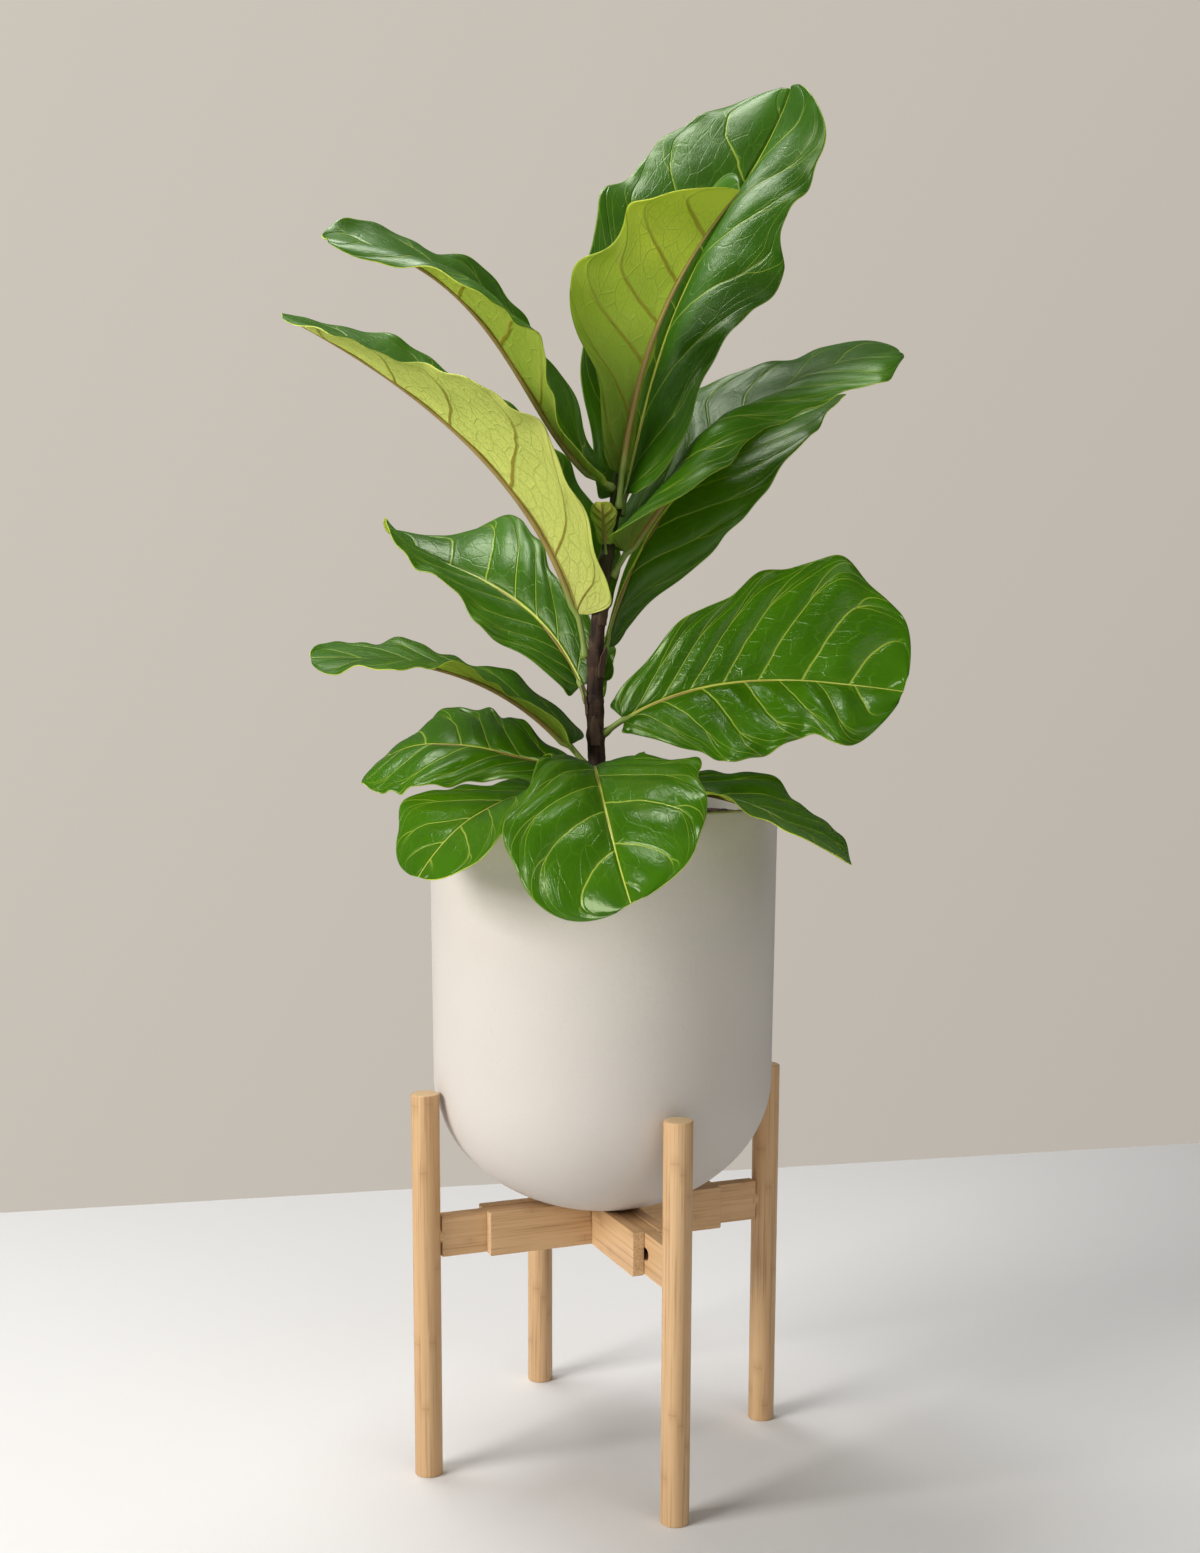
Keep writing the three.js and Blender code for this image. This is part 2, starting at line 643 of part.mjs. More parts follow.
// A papery sheath: a thin scale that leans against the stem, from a short distance out.
function sheathGeometry({ height, azimuth }) {
  const outwards = new THREE.Vector3(Math.cos(azimuth * degrees), Math.sin(azimuth * degrees), 0);
  const sideways = new THREE.Vector3(-outwards.y, outwards.x, 0);
  const rows = [0, 0.2, 0.45, 0.7, 0.9, 1];
  const columns = [-1, -0.5, 0, 0.5, 1];
  const rings = rows.map((share) => {
    const z = height + sheathLength * share;
    const middle = stemPoint(z);
    const inner = stemRadius(height) + gap + 4 * share ** 2;
    const width = sheathWidth * Math.max(Math.sqrt(Math.sin(Math.PI * (0.25 + 0.74 * share))), 0.2);
    const at = (column, depth) => middle.clone()
      .addScaledVector(sideways, column * width)
      .addScaledVector(outwards, inner + depth);
    return [
      ...columns.map((column) => at(column, sheathThickness)),
      ...columns.map((column) => at(-column, 0)),
    ];
  });
  return loft(rings);
}

// Assembly

function namedMesh(name, geometry, material) {
  const mesh = new THREE.Mesh(geometry, material);
  mesh.name = name;
  return mesh;
}

function buildPlant() {
  const plant = new THREE.Group();
  const reach = potRadius / designPotRadius;
  plant.add(namedMesh('stem', stemGeometry(), barkFinish));
  for (const leaf of [...leaves, ...smallLeaves]) {
    const sized = leaf.overRim ? scaledLeaf(leaf, reach) : leaf;
    plant.add(namedMesh(leaf.name, leafGeometry(sized), leafFinish));
  }
  for (const sheath of sheaths) {
    plant.add(namedMesh(sheath.name, sheathGeometry(sheath), sheathFinish));
  }
  return plant;
}

// A leaf that hangs over the rim keeps its shape and follows the pot's size.
function scaledLeaf(leaf, factor) {
  const sizedSide = (side) => ({ ...side, width: side.width.map((value) => value * factor) });
  return {
    ...leaf,
    stalk: leaf.stalk * factor,
    length: leaf.length * factor,
    right: sizedSide(leaf.right),
    left: sizedSide(leaf.left),
  };
}

const pot = namedMesh('planter_pot', potGeometry(), potFinish);
const soil = namedMesh('potting_soil', soilGeometry(), soilFinish);
pot.position.z = potFloor;
soil.position.z = potFloor;

const plant = buildPlant();
plant.position.z = soilTop;

const object = new THREE.Group();
object.add(buildStand(), pot, soil, plant);

// The origin goes to the middle of the bounding box, on the floor.
object.updateMatrixWorld(true);
const bounds = new THREE.Box3().setFromObject(object, true);
object.position.x = -(bounds.min.x + bounds.max.x) / 2;
object.position.y = -(bounds.min.y + bounds.max.y) / 2;

export default object;
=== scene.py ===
import math

import bpy
import numpy as np
from mathutils import Matrix, Vector


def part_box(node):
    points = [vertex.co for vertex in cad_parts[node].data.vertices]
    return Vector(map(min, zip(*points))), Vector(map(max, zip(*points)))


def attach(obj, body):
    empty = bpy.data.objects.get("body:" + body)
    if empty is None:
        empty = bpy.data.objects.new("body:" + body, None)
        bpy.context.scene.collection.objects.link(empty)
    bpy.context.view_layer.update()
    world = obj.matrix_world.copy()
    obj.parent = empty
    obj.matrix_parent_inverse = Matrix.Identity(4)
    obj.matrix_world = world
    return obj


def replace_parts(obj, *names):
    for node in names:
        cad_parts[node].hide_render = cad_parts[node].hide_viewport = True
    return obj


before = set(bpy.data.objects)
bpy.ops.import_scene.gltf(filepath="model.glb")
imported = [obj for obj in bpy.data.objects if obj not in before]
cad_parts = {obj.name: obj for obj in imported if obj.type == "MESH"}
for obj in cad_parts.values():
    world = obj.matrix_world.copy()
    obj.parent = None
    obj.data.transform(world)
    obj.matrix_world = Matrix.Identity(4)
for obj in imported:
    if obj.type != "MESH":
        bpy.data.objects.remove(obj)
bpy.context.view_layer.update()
mm = 0.001
planterBody = "plant_and_planter"

# the stand's middle and the pot's and soil's heights come from the frame
potLow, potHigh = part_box("planter_pot")
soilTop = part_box("potting_soil")[1].z
middle = np.array([(potLow.x + potHigh.x) / 2, (potLow.y + potHigh.y) / 2, 0.0])
soilMiddle = middle + np.array([0.0, 0.0, soilTop])
print("frame loaded, soil at", round(soilTop, 4))


# quads of a grid of points, rows by columns; wrap joins the last column to the first
def gridQuads(rows, columns, wrap=False):
    row = np.arange(rows - 1)[:, None]
    column = np.arange(columns if wrap else columns - 1)[None, :]
    after = (column + 1) % columns
    here = row * columns
    above = here + columns
    corners = np.stack([here + column, here + after, above + after, above + column], -1)
    return corners.reshape(-1, 4)


# strips of quads that close the first and the last ring of a wrapped grid
def capQuads(rows, columns):
    side = np.arange(columns // 2 - 1)
    under = columns - 1 - side
    quads = np.stack([side, under, under - 1, side + 1], -1)
    return np.concatenate([quads, quads[:, ::-1] + (rows - 1) * columns])


# a mesh object from points and faces; each face list has its own material, and values are point attributes
def addPiece(name, points, faceSets, materials, body, values=None, smooth=True):
    mesh = bpy.data.meshes.new(name)
    faces = np.concatenate(faceSets)
    mesh.vertices.add(len(points))
    mesh.vertices.foreach_set("co", np.asarray(points, np.float32).ravel())
    mesh.loops.add(faces.size)
    mesh.loops.foreach_set("vertex_index", faces.astype(np.int32).ravel())
    mesh.polygons.add(len(faces))
    starts = np.arange(len(faces), dtype=np.int32) * faces.shape[1]
    mesh.polygons.foreach_set("loop_start", starts)
    which = np.repeat(np.arange(len(faceSets), dtype=np.int32), [len(faceSet) for faceSet in faceSets])
    mesh.polygons.foreach_set("material_index", which)
    mesh.polygons.foreach_set("use_smooth", np.full(len(faces), smooth))
    for material in materials:
        mesh.materials.append(material)
    for key, value in (values or {}).items():
        layer = mesh.attributes.new(key, "FLOAT", "POINT")
        layer.data.foreach_set("value", np.asarray(value, np.float32).ravel())
    mesh.update(calc_edges=True)
    mesh.validate()
    piece = bpy.data.objects.new(name, mesh)
    bpy.context.scene.collection.objects.link(piece)
    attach(piece, body)
    return piece


# the nodes of a new material, or of a world, and short ways to add to them
class Nodes:
    def __init__(self, name, collection="materials", shader="Principled BSDF"):
        self.owner = getattr(bpy.data, collection).new(name)
        self.owner.use_nodes = True
        self.tree = self.owner.node_tree
        self.shader = self.tree.nodes[shader]

    # a new node with its settings
    def add(self, kind, **settings):
        node = self.tree.nodes.new(kind)
        for key, value in settings.items():
            setattr(node, key, value)
        return node

    # an input is linked to a socket or set to a plain value
    def feed(self, socket, value):
        if isinstance(value, bpy.types.NodeSocket):
            self.tree.links.new(value, socket)
        else:
            socket.default_value = value

    # one arithmetic step on sockets or plain values
    def math(self, operation, *values, clamp=False):
        node = self.add("ShaderNodeMath", operation=operation, use_clamp=clamp)
        for socket, value in zip(node.inputs, values):
            self.feed(socket, value)
        return node.outputs[0]

    def times(self, first, second):
        return self.math("MULTIPLY", first, second)

    def plus(self, first, second, clamp=False):
        return self.math("ADD", first, second, clamp=clamp)

    # how far a value is from the nearest whole number
    def fromWhole(self, value):
        turn = self.math("FRACT", self.plus(value, 0.5))
        return self.math("ABSOLUTE", self.math("SUBTRACT", turn, 0.5))

    # value goes from low to high as the input goes from start to end, held beyond them
    def ramp(self, value, start, end, low=0.0, high=1.0, soft=True):
        node = self.add("ShaderNodeMapRange", interpolation_type="SMOOTHSTEP" if soft else "LINEAR")
        self.feed(node.inputs["Value"], value)
        for key, number in (("From Min", start), ("From Max", end), ("To Min", low), ("To Max", high)):
            self.feed(node.inputs[key], number)
        return node.outputs[0]

    # a blend of two colours: share 0 gives the first and 1 the second
    def mix(self, share, first, second):
        node = self.add("ShaderNodeMix", data_type="RGBA")
        self.feed(node.inputs[0], share)
        self.feed(node.inputs[6], first)
        self.feed(node.inputs[7], second)
        return node.outputs[2]

    # a value that the mesh holds for each point
    def value(self, name):
        return self.add("ShaderNodeAttribute", attribute_name=name).outputs["Fac"]

    # the object's own coordinates, one socket for each axis
    def place(self):
        node = self.add("ShaderNodeSeparateXYZ")
        self.feed(node.inputs[0], self.add("ShaderNodeTexCoord").outputs["Object"])
        return node.outputs

    # noise on the object's own coordinates, stretched by a scale for each axis
    def noise(self, scale, detail=3.0, stretch=(1, 1, 1), roughness=0.5):
        mapping = self.add("ShaderNodeMapping")
        self.feed(mapping.inputs["Vector"], self.add("ShaderNodeTexCoord").outputs["Object"])
        mapping.inputs["Scale"].default_value = stretch
        node = self.add("ShaderNodeTexNoise")
        self.feed(node.inputs["Vector"], mapping.outputs[0])
        for key, number in (("Scale", scale), ("Detail", detail), ("Roughness", roughness)):
            node.inputs[key].default_value = number
        return node.outputs["Fac"]

    # fine relief: the height times the distance, in metres
    def bump(self, height, distance, strength=1.0):
        node = self.add("ShaderNodeBump")
        node.inputs["Strength"].default_value = strength
        node.inputs["Distance"].default_value = distance
        self.feed(node.inputs["Height"], height)
        self.feed(self.shader.inputs["Normal"], node.outputs[0])

    # the shader's colour, roughness and reflection
    def surface(self, colour, roughness, specular=0.5):
        for key, value in (("Base Color", colour), ("Roughness", roughness), ("Specular IOR Level", specular)):
            self.feed(self.shader.inputs[key], value)


# a linear colour, opaque
def rgb(red, green, blue):
    return (red, green, blue, 1.0)


# Lengths are in millimetres and angles in degrees, as the frame's leaves were drawn:
# node: height above the soil; azimuth: direction off the stem; swing: how it turns at mid length and tip
# rise: slope at stem, thirds and tip; roll: turn about the midrib; fold and curl: how each half lifts and bends
# width: half widths at 10, 30, 50, 70 and 90 percent; waves: ripple of the margins; veins: side veins on a half
# slant and lobes: shares of the side veins' lean to the tip and of the lobes' reach, 1 if not given
# tone: how light the leaf is; light: share of painted sunlight on the underside below; shine: added relief and
# gloss above
# arches: folds along a half, as half (1 right, -1 left), place along the blade, spread, height, and a power
# below one that moves the crest towards the midrib
leafShapes = [
    dict(
        name="leaf_crown_back", node=259, azimuth=18, stalk=13, length=399,
        rise=[73, 79, 32, 73], swing=[19, -41], roll=[-10, -33],
        right=dict(fold=[32, -20, 14], curl=5, width=[50, 61, 87, 70, 74]),
        left=dict(fold=[31, 37, 14], curl=7, width=[27, 66, 93, 96, 67]),
        waves=(5, 3.2, 0.1), veins=6, tone=0.22,
        arches=((1, 0.55, 0.33, 20, 0.8), (-1, 0.8, 0.2, 7, 0.7)),
    ),
    dict(
        name="leaf_crown_front", node=262, azimuth=-85, stalk=26, length=250, lobes=0.4,
        rise=[84, 67, 47, 31], swing=[15, 15], roll=[23, -13],
        right=dict(fold=[34, 44, 11], curl=0, width=[18, 38, 80, 61, 61]),
        left=dict(fold=[61, 66, 60], curl=-21, width=[17, 31, 51, 62, 48]),
        waves=(3.5, 2.6, 0.3), veins=6, tone=0.5, slant=0.8,
        arches=((-1, 0.72, 0.16, 9, 1.2),),
    ),
    dict(
        name="leaf_upper_left", node=277, azimuth=-175, stalk=14, length=306,
        rise=[24, 86, 21, -1], swing=[26, -5], roll=[35, 32],
        right=dict(fold=[33, 8, -33], curl=41, width=[16, 44, 68, 54, 61]),
        left=dict(fold=[27, 52, 16], curl=-38, width=[14, 46, 77, 90, 36]),
        waves=(4, 3, 0.55), veins=6, tone=0.3, light=0.2, slant=0.6,
        arches=((1, 0.6, 0.2, 8, 1.0),),
    ),
    dict(
        name="leaf_upper_right", node=206, azimuth=-17, stalk=19, length=313, lobes=0.8,
        rise=[60, 48, 40, -2], swing=[26, -5], roll=[3, -39],
        right=dict(fold=[50, -24, 43], curl=-35, width=[61, 62, 42, 56, 77]),
        left=dict(fold=[77, 6, 1], curl=-31, width=[30, 36, 88, 56, 65]),
        waves=(3.5, 2.6, 0.2), veins=7, tone=0.3,
        arches=((1, 0.38, 0.17, 18, 0.9), (-1, 0.6, 0.3, -8, 0.8)),
    ),
    dict(
        name="leaf_long_left", node=139, azimuth=156, stalk=31, length=358, lobes=0.7,
        rise=[84, 47, 36, 22], swing=[-3, 22], roll=[-2, 18],
        right=dict(fold=[66, 49, 3], curl=-6, width=[43, 66, 61, 66, 60]),
        left=dict(fold=[67, 45, 6], curl=-16, width=[38, 66, 93, 60, 88]),
        waves=(4, 3.4, 0.7), veins=5, tone=0.4, light=0.9, slant=0.5,
    ),
    dict(
        name="leaf_dark_right", node=134, azimuth=29, stalk=12, length=385, lobes=0.5,
        rise=[73, 43, 32, 12], swing=[-5, -22], roll=[-35, 10],
        right=dict(fold=[-27, 1, 11], curl=-23, width=[14, 54, 65, 74, 50]),
        left=dict(fold=[81, 95, 92], curl=30, width=[22, 23, 38, 46, 36]),
        waves=(3, 2.8, 0.4), veins=7, tone=0.22,
    ),
    dict(
        name="leaf_middle_left", node=100, azimuth=115, stalk=12, length=268,
        rise=[63, 36, 2, 35], swing=[1, 24], roll=[22, -15],
        right=dict(fold=[35, 61, 25], curl=-1, width=[33, 34, 60, 83, 41]),
        left=dict(fold=[-18, -1, 14], curl=-11, width=[17, 47, 56, 68, 53]),
        waves=(4, 2.4, 0.6), veins=7, tone=0.35, shine=0.3,
        arches=((1, 0.55, 0.25, 8, 0.9),),
    ),
    dict(
        name="leaf_broad_right", node=72, azimuth=-37, stalk=18, length=245,
        rise=[38, 10, -9, -7], swing=[7, -8], roll=[-51, -38],
        right=dict(fold=[-2, 15, 6], curl=-12, width=[19, 77, 98, 70, 72]),
        left=dict(fold=[24, 26, 11], curl=11, width=[22, 60, 95, 110, 79]),
        waves=(4, 2.6, 0.15), veins=7, tone=0.45, shine=1,
        arches=((-1, 0.78, 0.16, 7, 1.0), (1, 0.72, 0.16, 6, 0.9)),
    ),
    dict(
        name="leaf_narrow_left", node=44, azimuth=166, stalk=20, length=241,
        rise=[53, 33, 0, -2], swing=[9, 5], roll=[12, 4],
        right=dict(fold=[28, 2, 10], curl=3, width=[34, 40, 47, 62, 52]),
        left=dict(fold=[10, 34, -15], curl=-12, width=[33, 28, 53, 72, 44]),
        waves=(3.5, 3, 0.35), veins=6, tone=0.35,
    ),
    dict(
        name="leaf_low_left", node=39, azimuth=140, stalk=19, length=219,
        rise=[7, 16, 13, -49], swing=[-13, -8], roll=[14, 7],
        right=dict(fold=[24, 24, 10], curl=0, width=[15, 40, 62, 63, 47]),
        left=dict(fold=[-14, -28, -14], curl=-17, width=[29, 34, 60, 63, 49]),
        waves=(4, 2.6, 0.5), veins=6, tone=0.5, shine=0.8,
    ),
    dict(
        name="leaf_rim_left", node=16, azimuth=-141, stalk=21, length=212, lobes=0.5,
        rise=[12, 5, -16, -57], swing=[-8, -26], roll=[-10, 1],
        right=dict(fold=[10, 21, 2], curl=2, width=[34, 40, 54, 69, 50]),
        left=dict(fold=[3, 26, -15], curl=11, width=[33, 35, 57, 62, 59]),
        waves=(3, 2.2, 0.8), veins=6, tone=0.5, shine=0.7,
    ),
    dict(
        name="leaf_rim_front", node=27, azimuth=-116, stalk=21, length=272,
        rise=[25, 6, -50, -41], swing=[8, 23], roll=[9, -20],
        right=dict(fold=[5, 35, -26], curl=0, width=[41, 37, 54, 79, 62]),
        left=dict(fold=[5, 7, 13], curl=6, width=[40, 41, 77, 74, 59]),
        waves=(3, 2.4, 0.25), veins=6, tone=0.35, shine=1,
        arches=((1, 0.62, 0.22, 6, 0.9), (-1, 0.75, 0.16, 6, 0.8)),
    ),
    dict(
        name="leaf_rim_right", node=23, azimuth=-69, stalk=19, length=244, lobes=0.4,
        rise=[9, 0, -15, -36], swing=[0, 17], roll=[-18, 3],
        right=dict(fold=[14, 15, 7], curl=6, width=[29, 30, 49, 58, 48]),
        left=dict(fold=[17, 8, -14], curl=3, width=[29, 35, 54, 52, 47]),
        waves=(3, 2.6, 0.65), veins=6, tone=0.2, shine=0.4,
    ),
    dict(
        name="leaf_small_back", node=92, azimuth=62, stalk=10, length=62,
        rise=[55, 60, 62, 60], swing=[0, 0], roll=[0, 0],
        right=dict(fold=[20, 20, 15], curl=0, width=[7, 9, 13, 15, 11]),
        left=dict(fold=[20, 20, 15], curl=0, width=[7, 9, 13, 15, 11]),
        waves=(1, 2, 0.3), veins=4, tone=0.5,
    ),
    dict(
        name="leaf_tip_young", node=222, azimuth=-120, stalk=8, length=40,
        rise=[70, 60, 50, 45], swing=[0, 0], roll=[0, 0],
        right=dict(fold=[20, 25, 20], curl=0, width=[6, 8, 11, 12, 8]),
        left=dict(fold=[20, 25, 20], curl=0, width=[6, 8, 11, 12, 8]),
        waves=(0.6, 2, 0.1), veins=4, tone=0.8, light=0.3,
    ),
]

stem = dict(
    lean=-22, heights=[-60, -12, 48, 93, 143, 188, 233, 288], offsets=[-3, -3, -6, -8, -7, -3, 4, 13],
    footRadius=8.5, topRadius=5.0, budLength=8.0, foot=-55.0, rows=420, sides=48,
    swelling=0.9, scar=0.35, ridge=0.16, sunk=0.25,
)

blade = dict(
    thickness=0.7, lobeReach=0.16, stalkRadius=2.6, gap=0.3, rows=176, halfColumns=46,
    smallLength=100, smallRows=60, smallHalfColumns=16, reliefLength=250,
    quilt=1.35, quiltReach=8.5, ribReach=9.0, ribCrease=1.3, creaseReach=3.2, unevenness=0.5,
    scallop=0.42, scallopPower=5, ripplePower=2.6, otherHalf=0.37, marginWave=0.036, marginBeat=1.7,
    veinRise=0.25, veinRiseFall=0.09, veinLoop=0.11, firstVein=0.02, lastVein=0.98,
    veinUneven=0.13, veinAlternate=0.38, veinPitch=0.76, ribSides=14, ribSunk=1.1,
)


# middle of the stem at heights above the soil, straight between the given bends and then smoothed
def stemMiddle(heights):
    heights = np.asarray(heights, float)
    reach = np.array([-14.0, -7.0, 0.0, 7.0, 14.0])
    near = np.interp(heights[..., None] + reach, stem["heights"], stem["offsets"])
    offset = near.mean(-1)
    lean = math.radians(stem["lean"])
    return np.stack([offset * math.cos(lean), offset * math.sin(lean), heights], -1)


# the stem's radius falls evenly from the soil to its top
def stemRadius(heights):
    return np.interp(heights, [0, stem["heights"][-1]], [stem["footRadius"], stem["topRadius"]])


# a Bernstein curve through control values, at places from 0 to 1
def bernstein(values, places):
    order = len(values) - 1
    terms = [math.comb(order, k) * value * (1 - places) ** (order - k) * places ** k
             for k, value in enumerate(values)]
    return sum(terms)


# how the blade closes at both ends, like a squared-off ellipse
def bladeEnds(along):
    return np.sqrt(np.clip(1 - np.abs(2 * along - 1) ** 4, 0, 1))


# half width along the blade: a Catmull-Rom curve through five widths, closed at both ends
def halfWidth(along, widths):
    knots = np.asarray(widths, float) / bladeEnds(np.array([0.1, 0.3, 0.5, 0.7, 0.9]))
    knots = np.concatenate([knots[:1], knots, knots[-1:]])
    place = np.clip((along - 0.1) / 0.2, 0, 3.999999)
    low = np.floor(place).astype(int)
    u = place - low
    a, b, c, d = knots[low], knots[low + 1], knots[low + 2], knots[low + 3]
    smooth = 2 * b + (c - a) * u + (2 * a - 5 * b + 4 * c - d) * u * u + (3 * b - a - 3 * c + d) * u ** 3
    return bladeEnds(along) * (0.5 * smooth)


# the stalk and midrib: slope, direction and roll vary along it, and the line is their running sum
def leafSpine(leaf):
    total = leaf["stalk"] + leaf["length"]
    steps = 160
    q = np.linspace(0, 1, steps + 1)
    rise = np.radians(bernstein(leaf["rise"], q))
    azimuth = np.radians(leaf["azimuth"] + 2 * q * (1 - q) * leaf["swing"][0] + q * q * leaf["swing"][1])
    roll = np.radians(leaf["roll"][0] + (leaf["roll"][1] - leaf["roll"][0]) * q)[:, None]
    tangent = np.stack([np.cos(rise) * np.cos(azimuth), np.cos(rise) * np.sin(azimuth), np.sin(rise)], 1)
    level = np.stack([np.sin(azimuth), -np.cos(azimuth), 0 * azimuth], 1)
    normal = np.cross(level, tangent)
    across = np.cos(roll) * level + np.sin(roll) * normal
    up = np.cos(roll) * normal - np.sin(roll) * level
    foot = math.radians(leaf["azimuth"])
    stalkSide = blade["stalkRadius"] * math.sin(math.radians(leaf["rise"][0]))
    outward = stemRadius(leaf["node"]) + blade["gap"] + stalkSide
    start = stemMiddle(leaf["node"]) + outward * np.array([math.cos(foot), math.sin(foot), 0])
    run = (tangent[1:] + tangent[:-1]) / 2 * total / steps
    points = start + np.concatenate([np.zeros((1, 3)), np.cumsum(run, 0)])
    return dict(q=q, points=points, across=across, up=up, tangent=tangent, total=total)


# a spine's points or directions at shares q of its length, straight between its own
def alongSpine(spine, key, q):
    return np.stack([np.interp(q, spine["q"], spine[key][:, axis]) for axis in range(3)], -1)


# points of the spine, which runs on straight before its start
def spinePoints(spine, q):
    return alongSpine(spine, "points", q) + (np.minimum(q, 0) * spine["total"])[..., None] * spine["tangent"][0]


# the blade's middle surface: each row crosses the midrib and bends up from it, and the lobes sweep back.
# Sine waves that grow towards the margin ripple and scallop it, and each arch is a bell curve along a half.
def bladeSurface(leaf, spine, along, outward):
    out = np.abs(outward)
    side = np.sign(outward)
    near = np.clip(along / 0.3, 0, 1)
    lobe = leaf.get("lobes", 1) * blade["lobeReach"] * np.sin(np.pi * near) * (1 - near)
    q = (leaf["stalk"] + leaf["length"] * (along - lobe * out ** 1.5)) / spine["total"]
    point = spinePoints(spine, q)
    across, up = alongSpine(spine, "across", q), alongSpine(spine, "up", q)
    right, left = leaf["right"], leaf["left"]
    width = np.where(side > 0, halfWidth(along, right["width"]), halfWidth(along, left["width"]))
    ripple, count, shift = leaf["waves"]
    beat = 2 * np.pi * (count * along + shift + np.where(side > 0, 0, blade["otherHalf"]))
    width = width * (1 + blade["marginWave"] * np.sin(beat * blade["marginBeat"] + 1.0) * out)
    fold = np.radians(np.where(side > 0, bernstein(right["fold"], along), bernstein(left["fold"], along)))
    curl = np.radians(np.where(side > 0, right["curl"], left["curl"]))
    curl = np.where(np.abs(curl) < 0.002, 0.002, curl)
    lean = fold + curl * out
    outwards = width * (np.sin(lean) - np.sin(fold)) / curl
    upwards = width * (np.cos(fold) - np.cos(lean)) / curl
    upwards = upwards + ripple * out ** blade["ripplePower"] * np.sin(beat) * bladeEnds(along)
    for half, centre, spread, lift, peak in leaf.get("arches", ()):
        rise = np.sin(np.pi * out ** peak) * np.exp(-((along - centre) / spread) ** 2)
        upwards = upwards + np.where(side == half, lift * rise, 0.0)
    scallops = np.sin(2 * beat + 4.1) + 0.7 * np.sin(3.3 * beat + 2.0)
    upwards = upwards + blade["scallop"] * ripple * out ** blade["scallopPower"] * scallops * bladeEnds(along)
    place = point + (side * outwards)[..., None] * across + upwards[..., None] * up
    return place, width * outward


# which side vein a point is at: whole numbers lie on a vein, which leaves the midrib slanting towards the tip
# and bends on along the margin
def veinPhase(leaf, along, outward):
    out = np.abs(outward)
    start = along
    for _ in range(5):
        slant = leaf.get("slant", 1) * (blade["veinRise"] - blade["veinRiseFall"] * start)
        start = along - slant * out - blade["veinLoop"] * out ** 6
    share = (start - blade["firstVein"]) / (blade["lastVein"] - blade["firstVein"])
    shift = 1.4 * share + leaf["waves"][2] + np.where(outward > 0, 0, 0.4)
    uneven = blade["veinUneven"] * np.sin(2 * np.pi * shift)
    alternate = np.where(outward > 0, 0, blade["veinAlternate"]) * np.clip(share / 0.25, 0, 1)
    return leaf["veins"] * share + uneven + alternate


# the blade bulges between its side veins, by a bell curve of the distance to the nearest vein, and sinks along
# the veins and the midrib; crossed sine waves make it slightly uneven
def bladeRelief(leaf, size, t, v, phase, pitch, acrossLength):
    fromVein = np.abs((phase + 0.5) % 1 - 0.5) * pitch
    besideRib = 1 - np.exp(-(acrossLength / blade["ribReach"]) ** 2)
    bulge = (1 - np.exp(-(fromVein / blade["quiltReach"]) ** 2)) * besideRib
    fade = (1 - np.abs(v) ** 5) * bladeEnds(t)
    crease = blade["ribCrease"] * np.exp(-(acrossLength / blade["creaseReach"]) ** 2) * (1 - t)
    relief = size * (blade["quilt"] * (1 + leaf.get("shine", 0.0)) * bulge * fade - crease)
    crossWave = np.sin(acrossLength / 9.0 + 3 * leaf["waves"][2])
    return relief + blade["unevenness"] * size * crossWave * np.sin(t * leaf["length"] / 11.0) * fade


# the stalk runs on under the blade as a thinning midrib: rings round the spine, sunk below the blade
def leafRib(leaf, spine, size):
    stalkShare = leaf["stalk"] / spine["total"]
    q = np.concatenate([np.linspace(-0.012, stalkShare, 12), np.linspace(stalkShare, 0.985, 70)[1:]])
    onBlade = np.clip((q - stalkShare) / (1 - stalkShare), 0, 1)
    thinning = blade["stalkRadius"] * (1 - onBlade) ** 0.8 + 0.25
    radius = size ** 0.5 * np.where(q < stalkShare, blade["stalkRadius"], thinning)
    radius = radius * (1 + 0.45 * np.exp(-(np.maximum(q, 0) * spine["total"] / 4.0) ** 2))
    sunk = (radius * 0.72 + 0.2 + blade["ribSunk"] * size * (1 - onBlade)) * np.clip(onBlade / 0.03, 0, 1)
    up, across = alongSpine(spine, "up", q), alongSpine(spine, "across", q)
    centre = spinePoints(spine, q) - sunk[:, None] * up
    sides = blade["ribSides"]
    angle = np.pi - 2 * np.pi * (np.arange(sides) + 0.5) / sides
    rings = (centre[:, None] + (radius[:, None] * np.cos(angle))[..., None] * across[:, None]
             + (radius[:, None] * np.sin(angle))[..., None] * up[:, None])
    faces = np.concatenate([gridQuads(len(q), sides, wrap=True), capQuads(len(q), sides)])
    return rings.reshape(-1, 3), faces, np.repeat(onBlade, sides)


